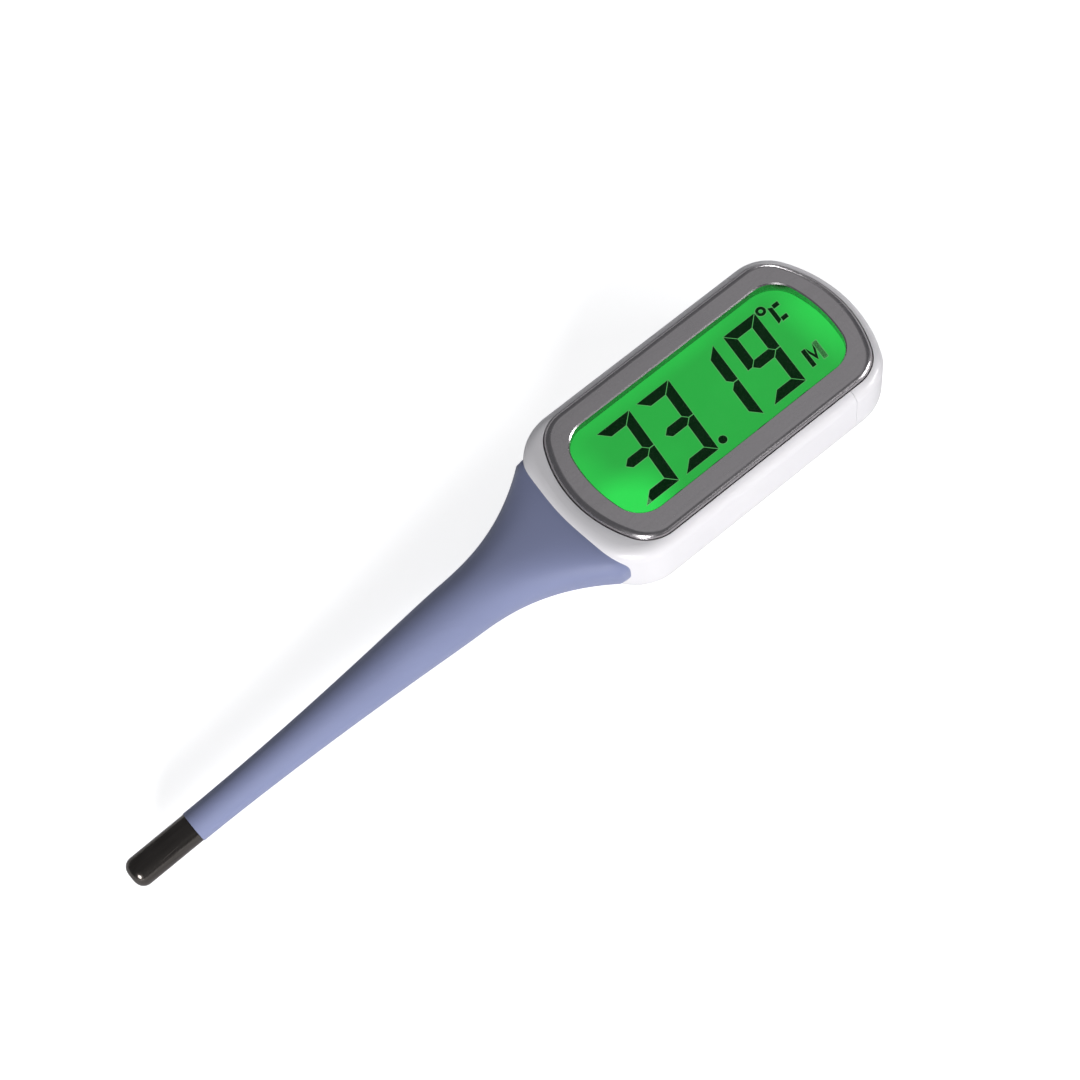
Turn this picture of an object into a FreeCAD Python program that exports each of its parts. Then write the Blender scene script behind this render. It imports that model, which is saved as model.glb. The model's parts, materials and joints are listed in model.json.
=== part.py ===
import FreeCAD, Part
import math
import os
from collections import namedtuple

# Digital thermometer with a wide head, a lit display and a soft, bendable stem. Millimetres.
# The origin is the centre of the head's flat back. +X runs from the tip to the head's free end,
# +Y is across the head, and +Z comes out of the display.

Vector = FreeCAD.Vector

# ---- Driving dimensions --------------------------------------------------------------------------

# Head shell
head_length = 54.4           # neck end to free end, on the centre line
head_width = 28.2
shell_height = 13.2          # flat back to the rim around the bezel
shell_wall = 1.3
shell_floor = 1.2
shoulder_radius = 2.0        # rounding of the front outer edge
heel_radius = 5.8            # rounding of the back outer edge
neck_end_radius = 30.0       # plan radius of the end that meets the stem
neck_corner_radius = 8.5
free_end_radius = 22.0       # plan radius of the free end
free_corner_radius = 7.0
shell_parting_height = 2.6   # where the front and back shells meet
front_web = 1.2              # thickness of the floor under the bezel

# Bezel and window
bezel_length = 49.6
bezel_width = 25.1
bezel_centre_x = 0.9
bezel_end_radius = 20.4
bezel_corner_radius = 5.6
bezel_proud = 0.8            # how far the bezel stands above the rim
bezel_seat_depth = 1.4       # how far the bezel is let into the rim
bezel_edge_radius = 1.1
bezel_gap = 0.12
window_length = 42.6
window_width = 17.5
window_end_radius = 22.2
window_corner_radius = 4.6
window_recess = 0.55         # window's face below the bezel's face
window_flange_thickness = 0.7
window_flange_margin = 1.5
window_gap = 0.08
window_edge_chamfer = 0.18    # bevel around the bezel's opening

# Display stack, from the window down
lcd_margin = 0.7             # how far the display reaches past the window all round
polariser_thickness = 0.15
glass_thickness = 0.55
segment_thickness = 0.06
diffuser_thickness = 0.15
guide_thickness = 2.1
reflector_thickness = 0.1
lamp_spread = 4.5            # each lamp's distance from the middle
lamp_width = 3.0
lamp_length = 1.0
lamp_gap = 0.1
lamp_slot_gap = 0.2
lamp_rounding = 0.15
contact_ledge = 1.7          # how far the front glass reaches past the rear glass on one side
contact_ledge_length = 30.0
display_opening_margin = 1.0

# Digits
digit_height = 13.4
digit_width = 6.05
digit_stroke = 1.6
digit_gap = 0.16             # clear line between neighbouring segments
digit_slant_deg = 8.8        # lean of the digits towards the free end
digit_row_y = 0.45           # height of the row's middle line
digit_places = (("3", -17.05), ("3", -9.65), ("1", -1.15), ("9", 6.9))
point_radius = 0.65
point_place = (-2.2, 0.75)   # from the bezel's middle and the digits' foot
degree_outer_radius = 0.8
degree_inner_radius = 0.34
degree_place = (15.9, 13.0)
small_mark_height = 3.1
small_mark_x = 14.95
letter_top_lift = 12.7       # top of the C above the digits' foot
letter_foot_lift = 0.9       # foot of the M above the digits' foot
letter_arm = 1.9
letter_width = 2.9
letter_gap = 0.1
small_mark_stroke = 0.7

# Circuit board
board_thickness = 0.8
board_clearance = 1.3        # from the bezel's outline to the board's edge
board_height = 5.7           # underside of the board
board_notch_length = 1.2     # room for the leads at the board's neck end
board_notch_width = 4.0
chip_sphere_radius = 5.5
chip_height = 1.2
chip_x = -9.0
crystal_length = 3.2
crystal_width = 1.5
crystal_height = 0.7
crystal_place = (2.0, 4.0)
part_columns = 5
part_pitch = 4.4
part_first_x = -6.0
part_rows = (-6.0, 5.8)
part_length = 1.6
part_width = 0.8
part_height = 0.5
holder_wall = 1.4
holder_gap = 0.06
holder_shelf = 0.8           # how far the holder's shelf reaches under the display
zebra_gap = 0.15
zebra_end_gap = 1.0

# Coin cell, its tray and its cover
cell_diameter = 20.0
cell_thickness = 3.2
cell_centre_x = 12.0
cell_gap = 0.15
tray_floor = 0.45
tray_wall = 1.3
contact_strip = 0.25
cell_step_height = 0.5       # the negative pole stands this far below the can
cell_step_width = 1.4
cell_edge_radius = 0.3
negative_contact_length = 12.0
negative_contact_width = 3.0
positive_contact_low = 7.0   # from the cell's middle towards the neck
positive_contact_high = 4.0  # from the cell's middle towards the free end
positive_contact_width = 4.0
tray_side_gap = 0.3
cover_length = 10.8          # visible length of the cover at the free end
cover_gap = 0.06
cover_side_gap = 0.1
collar_length = 2.0
collar_wall = 0.55
grip_count = 3
grip_pitch = 1.6
grip_width = 0.6
grip_length = 10.0
grip_depth = 0.35
grip_from_collar = 2.2
cover_travel_gap = 0.1       # floor of the cover to the tray's floor

# Button on the back
button_length = 8.0
button_width = 6.0
button_centre_x = -16.6
button_recess = 0.35
button_gap = 0.15
button_flange = 0.8
button_flange_thickness = 0.6
button_travel = 0.25
switch_side = 4.2
switch_height = 1.5
plunger_radius = 0.9
plunger_height = 0.5
plunger_gap = 0.06
plunger_headroom = 0.1
switch_lid = 0.3
button_rounding = 0.3
button_post_radius = 1.2

# Sounder
buzzer_diameter = 12.0
buzzer_centre_x = -5.6
buzzer_disc = 0.2
buzzer_ceramic_diameter = 8.5
buzzer_ceramic = 0.15
buzzer_ring_wall = 0.8
buzzer_ring_height = 1.0

# Screws
screw_spacing = 13.2
screw_from_end = 3.2         # from the head's neck end
screw_radius = 0.75
screw_head_radius = 1.5
screw_head_height = 0.7
screw_sink = 1.1             # how deep the screw heads sit in the back
screw_length = 5.5
screw_head_gap = 0.1
screw_end_room = 0.3
cross_length = 2.0
cross_width = 0.4
cross_depth = 0.35
screw_pad_wall = 0.8
boss_gap = 0.1
boss_radius = 1.7

# Seal between the shells
gasket_width = 0.4
gasket_height = 0.5
gasket_cover = 0.25          # how far the seal sits inside the head's outer face

# Stem
total_length = 130.0         # tip to free end
stem_droop_deg = 3.0         # slope of the stem's axis below the display's plane
stem_root_x = -45.0          # where the oval neck has become round
stem_root_height = 8.5       # axis height there
stem_root_radius = 4.7
stem_lip = 0.1               # how far the soft cover stands proud of the metal cap
stem_taper_power = 1.75
neck_half_width = 9.6        # half width of the soft neck where it leaves the head
neck_half_height = 4.15
neck_axis_height = 8.65
neck_flare_power = 1.95
neck_section_shares = (-0.253, -0.14, 0.0, 0.14, 0.281, 0.478, 0.674, 0.871)
neck_squareness = 1.2        # how much squarer than an ellipse the neck's section starts
joint_count = 4
knuckle_ratio = 1.2          # knuckle radius over stem radius
joint_gap = 0.25
stem_bore_radius = 1.0

# Metal cap and what is inside it
cap_radius = 2.25
cap_length = 10.6            # visible length
cap_wall = 0.2
cap_nose_radius = 1.5
cap_collar_radius = 1.75
cap_collar_length = 2.4
bead_radius = 0.75
bead_from_nose = 0.9

# Leads
lead_radius = 0.28
lead_offset = 0.42           # half the distance between the two leads
lead_end_gap = 0.5
lead_reach = 3.0             # how far the leads reach into the head past its wall
core_length = 17.0
core_root_radius = 3.4
core_tip_radius = 2.6
core_bore_radius = 1.5
core_flange_radius = 3.9
core_flange_thickness = 1.0

# ---- Places that follow from the dimensions ------------------------------------------------------

head_low_x = -head_length / 2
head_high_x = head_length / 2
tip_x = head_high_x - total_length
screw_x = head_low_x + screw_from_end
bezel_top = shell_height + bezel_proud
bezel_seat = shell_height - bezel_seat_depth
heel_rise = heel_radius - shell_parting_height
heel_setback = heel_radius - math.sqrt(heel_radius ** 2 - heel_rise ** 2)
gasket_inset = heel_setback + gasket_cover
seam_x = head_high_x - cover_length
web_bottom = bezel_seat - front_web

droop = math.radians(stem_droop_deg)
stem_length = (stem_root_x - tip_x) / math.cos(droop)
soft_length = stem_length - cap_length
stem_tip_radius = cap_radius + stem_lip
joint_pitch = soft_length / (joint_count + 0.75)
joint_first = 0.4 * joint_pitch
neck_end_x = head_low_x
neck_span = neck_end_x - stem_root_x

front_polariser_bottom = bezel_seat - polariser_thickness
front_glass_bottom = front_polariser_bottom - glass_thickness
segment_bottom = front_glass_bottom - segment_thickness
rear_glass_bottom = segment_bottom - glass_thickness
rear_polariser_bottom = rear_glass_bottom - polariser_thickness
diffuser_bottom = rear_polariser_bottom - diffuser_thickness
guide_bottom = diffuser_bottom - guide_thickness
reflector_bottom = guide_bottom - reflector_thickness
board_top = board_height + board_thickness

cell_bottom = shell_floor + cover_travel_gap + tray_floor + contact_strip
cell_top = cell_bottom + cell_thickness

# ---- Helpers -------------------------------------------------------------------------------------

Outline = namedtuple("Outline", "low high half low_radius low_corner high_radius high_corner")


def grown(outline, margin):
    """The outline that runs parallel to another one, a margin outside it."""
    return Outline(
        outline.low - margin,
        outline.high + margin,
        outline.half + margin,
        outline.low_radius + margin,
        outline.low_corner + margin,
        outline.high_radius + margin,
        outline.high_corner + margin,
    )


def end_points(end_x, side, half, radius, corner):
    """Points of one end of an outline: on the side, on the corner, where the end arc starts, its middle."""
    centre_x = end_x - side * radius
    corner_y = half - corner
    corner_x = centre_x + side * math.sqrt((radius - corner) ** 2 - corner_y ** 2)
    angle = math.atan2(corner_y, side * (corner_x - centre_x))
    half_angle = (angle + math.pi / 2) / 2
    side_point = Vector(corner_x, half, 0)
    corner_middle = Vector(
        corner_x + side * corner * math.cos(half_angle),
        corner_y + corner * math.sin(half_angle),
        0,
    )
    arc_start = Vector(
        centre_x + side * radius * math.cos(angle),
        radius * math.sin(angle),
        0,
    )
    return side_point, corner_middle, arc_start, Vector(end_x, 0, 0)


def mirrored(point):
    return Vector(point.x, -point.y, point.z)


def plan_wire(outline):
    """Closed outline: two straight sides, four corner arcs and two gently curved ends."""
    high = end_points(outline.high, 1, outline.half, outline.high_radius, outline.high_corner)
    low = end_points(outline.low, -1, outline.half, outline.low_radius, outline.low_corner)
    edges = [
        Part.LineSegment(low[0], high[0]),
        Part.Arc(high[0], high[1], high[2]),
        Part.Arc(high[2], high[3], mirrored(high[2])),
        Part.Arc(mirrored(high[2]), mirrored(high[1]), mirrored(high[0])),
        Part.LineSegment(mirrored(high[0]), mirrored(low[0])),
        Part.Arc(mirrored(low[0]), mirrored(low[1]), mirrored(low[2])),
        Part.Arc(mirrored(low[2]), low[3], low[2]),
        Part.Arc(low[2], low[1], low[0]),
    ]
    return Part.Wire([edge.toShape() for edge in edges])


def prism(outline, bottom, top):
    face = Part.Face(plan_wire(outline))
    solid = face.extrude(Vector(0, 0, top - bottom))
    solid.translate(Vector(0, 0, bottom))
    return solid


def block(x_low, x_high, y_low, y_high, bottom, top):
    corner = Vector(x_low, y_low, bottom)
    return Part.makeBox(x_high - x_low, y_high - y_low, top - bottom, corner)


def disc(x, y, radius, bottom, top):
    return Part.makeCylinder(radius, top - bottom, Vector(x, y, bottom))


def flat_edges(solid, height):
    """Edges of a solid that lie at one height."""
    found = []
    for edge in solid.Edges:
        box = edge.BoundBox
        if abs(box.ZMin - height) < 1e-6 and abs(box.ZMax - height) < 1e-6:
            found.append(edge)
    return found


def rounded_box(x, y, length, width, corner, bottom, top):
    solid = block(x - length / 2, x + length / 2, y - width / 2, y + width / 2, bottom, top)
    upright = [edge for edge in solid.Edges if edge.BoundBox.ZLength > (top - bottom) / 2]
    return solid.makeFillet(corner, upright)


def polygon_prism(points, bottom, top):
    corners = [Vector(x, y, bottom) for x, y in points]
    face = Part.Face(Part.makePolygon(corners + corners[:1]))
    return face.extrude(Vector(0, 0, top - bottom))


def along_stem(distance, offset_y=0.0):
    """Point on the stem's axis, a distance out from its root."""
    return Vector(
        stem_root_x - distance * math.cos(droop),
        offset_y,
        stem_root_height - distance * math.sin(droop),
    )


stem_direction = Vector(-math.cos(droop), 0, -math.sin(droop))


def stem_radius(distance):
    share = max(0.0, 1 - distance / soft_length)
    return stem_tip_radius + (stem_root_radius - stem_tip_radius) * share ** stem_taper_power


def rod(start, end, radius, offset_y=0.0):
    """Round rod inside the stem, between two distances from its root."""
    return Part.makeCylinder(radius, end - start, along_stem(start, offset_y), stem_direction)


# ---- Outlines ------------------------------------------------------------------------------------

head = Outline(
    head_low_x, head_high_x, head_width / 2,
    neck_end_radius, neck_corner_radius, free_end_radius, free_corner_radius,
)
bezel = Outline(
    bezel_centre_x - bezel_length / 2, bezel_centre_x + bezel_length / 2, bezel_width / 2,
    bezel_end_radius, bezel_corner_radius, bezel_end_radius, bezel_corner_radius,
)
window = Outline(
    bezel_centre_x - window_length / 2, bezel_centre_x + window_length / 2, window_width / 2,
    window_end_radius, window_corner_radius, window_end_radius, window_corner_radius,
)
lcd = grown(window, lcd_margin)
glass_ledge_y = lcd.half + contact_ledge

# ---- Head shell ----------------------------------------------------------------------------------


def head_outside():
    solid = prism(head, 0, shell_height)
    solid = solid.makeFillet(shoulder_radius, flat_edges(solid, shell_height))
    return solid.makeFillet(heel_radius, flat_edges(solid, 0))


def head_inside():
    solid = prism(grown(head, -shell_wall), shell_floor, web_bottom)
    return solid.makeFillet(heel_radius - shell_wall, flat_edges(solid, shell_floor))


def display_opening(bottom, top):
    """Opening in the floor under the bezel: the display and its contact ledge pass through it."""
    opening = prism(grown(window, display_opening_margin), bottom, top)
    half_ledge = contact_ledge_length / 2 + holder_gap + 0.2
    ledge = block(
        bezel_centre_x - half_ledge, bezel_centre_x + half_ledge,
        0, glass_ledge_y + 0.2, bottom, top,
    )
    return opening.fuse(ledge)


def head_shell():
    shell = head_outside().cut(head_inside())
    shell = shell.cut(prism(grown(bezel, bezel_gap), bezel_seat, shell_height + 1))
    return shell.cut(display_opening(web_bottom - 1, bezel_seat + 1))


def collar():
    """Thin spigot that the battery cover slides over."""
    outer = head_outside_inset(shell_wall - collar_wall)
    inner = head_outside_inset(shell_wall)
    ring = outer.cut(inner)
    length = block(seam_x - 0.5, seam_x + collar_length, -head_width, head_width, -1, web_bottom)
    return ring.common(length)


def head_outside_inset(margin):
    """Head's outer form, made smaller by a margin on its sides and back."""
    solid = prism(grown(head, -margin), shell_floor * margin / shell_wall, shell_height + 1)
    low = shell_floor * margin / shell_wall
    return solid.makeFillet(heel_radius - margin, flat_edges(solid, low))


def screw_discs(radius, bottom, top):
    """A round column at each of the two case screws."""
    columns = [disc(screw_x, side * screw_spacing / 2, radius, bottom, top) for side in (-1, 1)]
    return Part.makeCompound(columns)


def front_housing():
    keep = block(head_low_x - 1, seam_x, -head_width, head_width, shell_parting_height, shell_height + 1)
    solid = head_shell().common(keep)
    tongue = prism(grown(bezel, -0.5), web_bottom, bezel_seat).cut(display_opening(0, bezel_seat + 1))
    tongue = tongue.common(block(seam_x - 1, head_high_x, -head_width, head_width, 0, shell_height))
    solid = solid.fuse(tongue)
    high_collar = collar().common(
        block(seam_x - 1, head_high_x, -head_width, head_width, shell_parting_height, shell_height)
    )
    solid = solid.fuse(high_collar)
    solid = solid.fuse(screw_discs(boss_radius, shell_parting_height, web_bottom + 0.1))
    screw_end = screw_sink + screw_head_height + screw_length
    solid = solid.cut(screw_discs(screw_radius, 0, screw_end + screw_end_room))
    solid = solid.cut(gasket())
    return solid.cut(neck_core_blank())


def rear_housing():
    keep = block(head_low_x - 1, seam_x, -head_width, head_width, -1, shell_parting_height)
    solid = head_shell().common(keep)
    low_collar = collar().common(
        block(seam_x - 1, head_high_x, -head_width, head_width, -1, shell_parting_height)
    )
    solid = solid.fuse(low_collar)
    pads = screw_discs(screw_head_radius + screw_pad_wall, 0, shell_parting_height)
    solid = solid.fuse(pads.common(head_outside()))
    solid = solid.cut(screw_discs(screw_head_radius + screw_head_gap, -1, screw_sink + screw_head_height))
    solid = solid.cut(screw_discs(screw_radius, -1, shell_parting_height + 1))
    hole = pill(button_length + 2 * button_gap, button_width + 2 * button_gap, -1, shell_floor + 1)
    return solid.cut(hole).removeSplitter()


def screw(side):
    y = side * screw_spacing / 2
    seat = screw_sink + screw_head_height
    head_part = disc(screw_x, y, screw_head_radius, screw_sink, seat)
    shank = disc(screw_x, y, screw_radius, seat, seat + screw_length)
    arm = cross_length / 2
    half = cross_width / 2
    slot = block(screw_x - half, screw_x + half, y - arm, y + arm, 0, screw_sink + cross_depth)
    cross = block(screw_x - arm, screw_x + arm, y - half, y + half, 0, screw_sink + cross_depth)
    return head_part.fuse(shank).cut(slot).cut(cross).removeSplitter()


def gasket():
    ring = prism(grown(head, -gasket_inset), shell_parting_height, shell_parting_height + gasket_height)
    hollow = prism(grown(head, -gasket_inset - gasket_width), 0, shell_height)
    keep = block(head_low_x, seam_x - 0.6, -head_width, head_width, 0, shell_height)
    return ring.cut(hollow).common(keep)


def battery_cover():
    keep = block(seam_x + cover_gap, head_high_x + 1, -head_width, head_width, -1, shell_height + 1)
    solid = head_outside().cut(head_inside()).common(keep)
    solid = solid.cut(prism(grown(bezel, bezel_gap), web_bottom - 0.3, shell_height + 1))
    rebate = head_outside_inset(shell_wall - collar_wall - cover_side_gap)
    rebate_reach = block(
        seam_x, seam_x + collar_length + cover_side_gap,
        -head_width, head_width, -1, web_bottom + cover_side_gap,
    )
    solid = solid.cut(rebate.common(rebate_reach))
    half = grip_length / 2
    for step in range(grip_count):
        x = seam_x + collar_length + grip_from_collar + step * grip_pitch
        solid = solid.cut(block(x, x + grip_width, -half, half, -1, grip_depth))
    return solid.removeSplitter()


# ---- Bezel, window and display -------------------------------------------------------------------


def bezel_ring():
    solid = prism(bezel, bezel_seat, bezel_top)
    solid = solid.makeFillet(bezel_edge_radius, flat_edges(solid, bezel_top))
    solid = solid.cut(prism(window, 0, bezel_top + 1))
    inner_edges = []
    for edge in flat_edges(solid, bezel_top):
        if edge.BoundBox.YMax <= window.half + 0.01 and edge.BoundBox.YMin >= -window.half - 0.01:
            if edge.BoundBox.XMax <= window.high + 0.01 and edge.BoundBox.XMin >= window.low - 0.01:
                inner_edges.append(edge)
    solid = solid.makeChamfer(window_edge_chamfer, inner_edges)
    rebate = grown(window, window_flange_margin + window_gap)
    return solid.cut(prism(rebate, 0, bezel_seat + window_flange_thickness + window_gap))


def display_window():
    flange = prism(
        grown(window, window_flange_margin), bezel_seat, bezel_seat + window_flange_thickness,
    )
    face = prism(grown(window, -window_gap), bezel_seat, bezel_top - window_recess)
    return flange.fuse(face).removeSplitter()


def lcd_layer(margin, bottom, thickness):
    return prism(grown(window, margin), bottom, bottom + thickness)


def lcd_front_glass():
    half_ledge = contact_ledge_length / 2
    ledge = block(
        bezel_centre_x - half_ledge, bezel_centre_x + half_ledge,
        0, glass_ledge_y, front_glass_bottom, front_polariser_bottom,
    )
    return lcd_layer(lcd_margin, front_glass_bottom, glass_thickness).fuse(ledge).removeSplitter()


SEGMENTS_LIT = {"3": "abcdg", "1": "bc", "9": "abcdfg"}


def segment_outline(name):
    """Corner points of one bar of a digit whose lower left corner is at 0, 0."""
    w = digit_width
    h = digit_height
    t = digit_stroke
    g = digit_gap / 2
    middle = h / 2
    points = {
        "a": [(g, h), (w - g, h), (w - t - g, h - t), (t + g, h - t)],
        "b": [(w, h - g), (w, middle + g), (w - t / 2, middle + g), (w - t, middle + t / 2 + g),
              (w - t, h - t - g)],
        "c": [(w, middle - g), (w, g), (w - t, t + g), (w - t, middle - t / 2 - g),
              (w - t / 2, middle - g)],
        "d": [(g, 0), (t + g, t), (w - t - g, t), (w - g, 0)],
        "f": [(0, middle + g), (0, h - g), (t, h - t - g), (t, middle + t / 2 + g),
              (t / 2, middle + g)],
        "g": [(t / 2 + g, middle), (t + g, middle + t / 2), (w - t - g, middle + t / 2),
              (w - t / 2 - g, middle), (w - t - g, middle - t / 2), (t + g, middle - t / 2)],
    }
    return points[name]


def sheared(points, x, y):
    """Points moved to x, y and leaned over about the digits' foot line."""
    foot = digit_row_y - digit_height / 2
    lean = math.tan(math.radians(digit_slant_deg))
    return [(x + px + lean * (y + py - foot), y + py) for px, py in points]


def small_letters(top, foot):
    """Bars of the C beside the degree ring and of the M below it."""
    s = small_mark_stroke
    h = small_mark_height
    arm = letter_arm
    wide = letter_width
    x = bezel_centre_x + small_mark_x
    bars = [
        sheared([(s + letter_gap, 0), (arm, 0), (arm, -s), (s + letter_gap, -s)], x, top),
        sheared([(0, 0), (s, -s / 2), (s, -h + s / 2), (0, -h)], x, top),
        sheared([(s + letter_gap, s - h), (arm, s - h), (arm, -h), (s + letter_gap, -h)], x, top),
        sheared([(0, 0), (s, 0), (s, h), (0, h)], x, foot),
        sheared([(wide - s, 0), (wide, 0), (wide, h), (wide - s, h)], x, foot),
    ]
    inner = s + letter_gap
    valley_foot = 0.13 * h
    valley_depth = 1.4 * s
    valley = [
        (inner, h), (inner, h - valley_depth), (wide / 2, valley_foot),
        (wide - inner, h - valley_depth), (wide - inner, h), (wide / 2, valley_foot + valley_depth),
    ]
    return bars + [sheared(valley, x, foot)]


def lcd_segments():
    """The lit bars and marks: two digits, a point, two digits, a degree sign and a memory mark."""
    foot = digit_row_y - digit_height / 2
    bars = []
    for digit, x in digit_places:
        for name in SEGMENTS_LIT[digit]:
            bars.append(sheared(segment_outline(name), bezel_centre_x + x, foot))
    bars += small_letters(foot + letter_top_lift, foot + letter_foot_lift)
    solids = [polygon_prism(points, segment_bottom, front_glass_bottom) for points in bars]
    point_x = bezel_centre_x + point_place[0]
    point_y = foot + point_place[1]
    solids.append(disc(point_x, point_y, point_radius, segment_bottom, front_glass_bottom))
    ring_x = bezel_centre_x + degree_place[0]
    ring_y = foot + degree_place[1]
    ring = disc(ring_x, ring_y, degree_outer_radius, segment_bottom, front_glass_bottom)
    solids.append(ring.cut(disc(ring_x, ring_y, degree_inner_radius, 0, shell_height)))
    return Part.makeCompound(solids)


def backlight_led(side):
    """Side-firing lamp at the neck end of the light guide."""
    x_high = lcd.low - lamp_gap
    y = side * lamp_spread
    half = lamp_width / 2
    top = guide_bottom + guide_thickness * 0.62
    base = block(x_high - lamp_length, x_high, y - half, y + half, board_top, top)
    return base.makeFillet(lamp_rounding, [e for e in base.Edges if e.BoundBox.YLength > half])


def display_holder():
    """Frame that carries the light guide and the glass above the circuit board."""
    outer = grown(window, lcd_margin + holder_wall)
    solid = prism(outer, board_top, web_bottom - 0.1)
    solid = solid.cut(lcd_layer(lcd_margin + holder_gap, reflector_bottom, shell_height))
    solid = solid.cut(lcd_layer(-holder_shelf, 0, shell_height))
    half_slot = lamp_width / 2 + lamp_slot_gap
    for side in (-1, 1):
        y = side * lamp_spread
        solid = solid.cut(block(outer.low - 1, lcd.low + 0.2, y - half_slot, y + half_slot, 0, shell_height))
    half_ledge = contact_ledge_length / 2 + holder_gap
    zebra_slot = block(
        bezel_centre_x - half_ledge, bezel_centre_x + half_ledge,
        lcd.half + zebra_gap / 3, shell_height, 0, shell_height,
    )
    solid = solid.cut(screw_discs(boss_radius + boss_gap, 0, shell_height))
    return solid.cut(zebra_slot).removeSplitter()


def zebra_connector():
    half_ledge = contact_ledge_length / 2 - zebra_end_gap
    return block(
        bezel_centre_x - half_ledge, bezel_centre_x + half_ledge,
        lcd.half + zebra_gap, glass_ledge_y - zebra_gap, board_top, front_glass_bottom,
    )


# ---- Circuit board and what is on it -------------------------------------------------------------


def circuit_board():
    solid = prism(grown(bezel, -board_clearance), board_height, board_top)
    solid = solid.cut(screw_discs(boss_radius + boss_gap, 0, shell_height))
    notch_end = bezel.low + board_clearance + board_notch_length
    half = board_notch_width / 2
    return solid.cut(block(bezel.low - 1, notch_end, -half, half, 0, shell_height))


def controller_chip():
    r = chip_sphere_radius
    blob = Part.makeSphere(r, Vector(chip_x, 0, board_top + chip_height - 0.2 - r))
    return blob.common(block(chip_x - r, chip_x + r, -r, r, board_top, board_top + chip_height))


def crystal():
    x, y = crystal_place
    corner = crystal_width / 4
    return rounded_box(x, y, crystal_length, crystal_width, corner, board_top, board_top + crystal_height)


def board_parts():
    """Small resistors and capacitors in two rows."""
    solids = []
    half_length = part_length / 2
    half_width = part_width / 2
    top = board_top + part_height
    for column in range(part_columns):
        for y in part_rows:
            x = part_first_x + column * part_pitch
            low_x = x - half_length
            low_y = y - half_width
            solids.append(block(low_x, low_x + part_length, low_y, low_y + part_width, board_top, top))
    return Part.makeCompound(solids)


def switch_body():
    half = switch_side / 2
    solid = block(
        button_centre_x - half, button_centre_x + half, -half, half,
        board_height - switch_height, board_height,
    )
    bore = disc(button_centre_x, 0, plunger_radius + plunger_gap, 0, board_height - switch_lid)
    return solid.cut(bore)


def switch_plunger():
    top = board_height - switch_lid - button_travel - plunger_headroom
    bottom = board_height - switch_height - plunger_height
    return disc(button_centre_x, 0, plunger_radius, bottom, top)


# ---- Button on the back --------------------------------------------------------------------------


def pill(length, width, bottom, top):
    return rounded_box(button_centre_x, 0, length, width, width / 2 - 0.01, bottom, top)


def power_button():
    flange_top = shell_floor + button_flange_thickness
    solid = pill(button_length, button_width, button_recess, flange_top)
    solid = solid.makeFillet(button_rounding, flat_edges(solid, button_recess))
    flange_size = button_length + 2 * button_flange
    flange = pill(flange_size, button_width + 2 * button_flange, shell_floor, flange_top)
    post_top = board_height - switch_height - plunger_height
    post = disc(button_centre_x, 0, button_post_radius, flange_top - 0.2, post_top)
    return solid.fuse(flange).fuse(post).removeSplitter()


# ---- Sounder -------------------------------------------------------------------------------------


def buzzer_ring():
    outer = disc(buzzer_centre_x, 0, buzzer_diameter / 2, shell_floor, shell_floor + buzzer_ring_height)
    inner = disc(buzzer_centre_x, 0, buzzer_diameter / 2 - buzzer_ring_wall, 0, shell_height)
    return outer.cut(inner)


def buzzer_plate():
    bottom = shell_floor + buzzer_ring_height
    return disc(buzzer_centre_x, 0, buzzer_diameter / 2, bottom, bottom + buzzer_disc)


def buzzer_ceramic_disc():
    bottom = shell_floor + buzzer_ring_height + buzzer_disc
    return disc(buzzer_centre_x, 0, buzzer_ceramic_diameter / 2, bottom, bottom + buzzer_ceramic)


# ---- Coin cell -----------------------------------------------------------------------------------


def cell_space(gap, bottom, top):
    """Room for the cell: a round pocket that is open towards the free end."""
    radius = cell_diameter / 2 + gap
    pocket = disc(cell_centre_x, 0, radius, bottom, top)
    mouth = block(cell_centre_x, head_high_x + 5, -radius, radius, bottom, top)
    return pocket.fuse(mouth)


def battery_tray():
    bottom = shell_floor + cover_travel_gap
    half = cell_diameter / 2 + cell_gap + tray_wall
    solid = block(
        cell_centre_x - cell_diameter / 2 - tray_wall, head_high_x,
        -half, half, bottom, board_height,
    )
    inside = prism(grown(head, -shell_wall - tray_side_gap), bottom, shell_height)
    inside = inside.makeFillet(heel_radius - shell_wall, flat_edges(inside, bottom))
    solid = solid.common(inside)
    solid = solid.cut(cell_space(cell_gap, bottom + tray_floor, shell_height))
    strip = negative_contact().BoundBox
    return solid.cut(block(strip.XMin, strip.XMax, strip.YMin, strip.YMax, strip.ZMin, strip.ZMax))


def button_cell():
    radius = cell_diameter / 2
    step = cell_bottom + cell_step_height
    can = disc(cell_centre_x, 0, radius, step, cell_top)
    can = can.makeFillet(cell_edge_radius, flat_edges(can, cell_top))
    base = disc(cell_centre_x, 0, radius - cell_step_width, cell_bottom, step)
    return can.fuse(base)


def negative_contact():
    bottom = cell_bottom - contact_strip
    half = negative_contact_length / 2
    side = negative_contact_width / 2
    return block(cell_centre_x - half, cell_centre_x + half, -side, side, bottom, cell_bottom)


def positive_contact():
    """Strip on the cell's upper face with a tab that is soldered to the board."""
    low = cell_centre_x - positive_contact_low
    high = cell_centre_x + positive_contact_high
    side = positive_contact_width / 2
    strip = block(low, high, -side, side, cell_top, cell_top + contact_strip)
    tab = block(low, low + contact_strip, -side, side, cell_top, board_height)
    return strip.fuse(tab).removeSplitter()


# ---- Neck and stem -------------------------------------------------------------------------------


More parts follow.
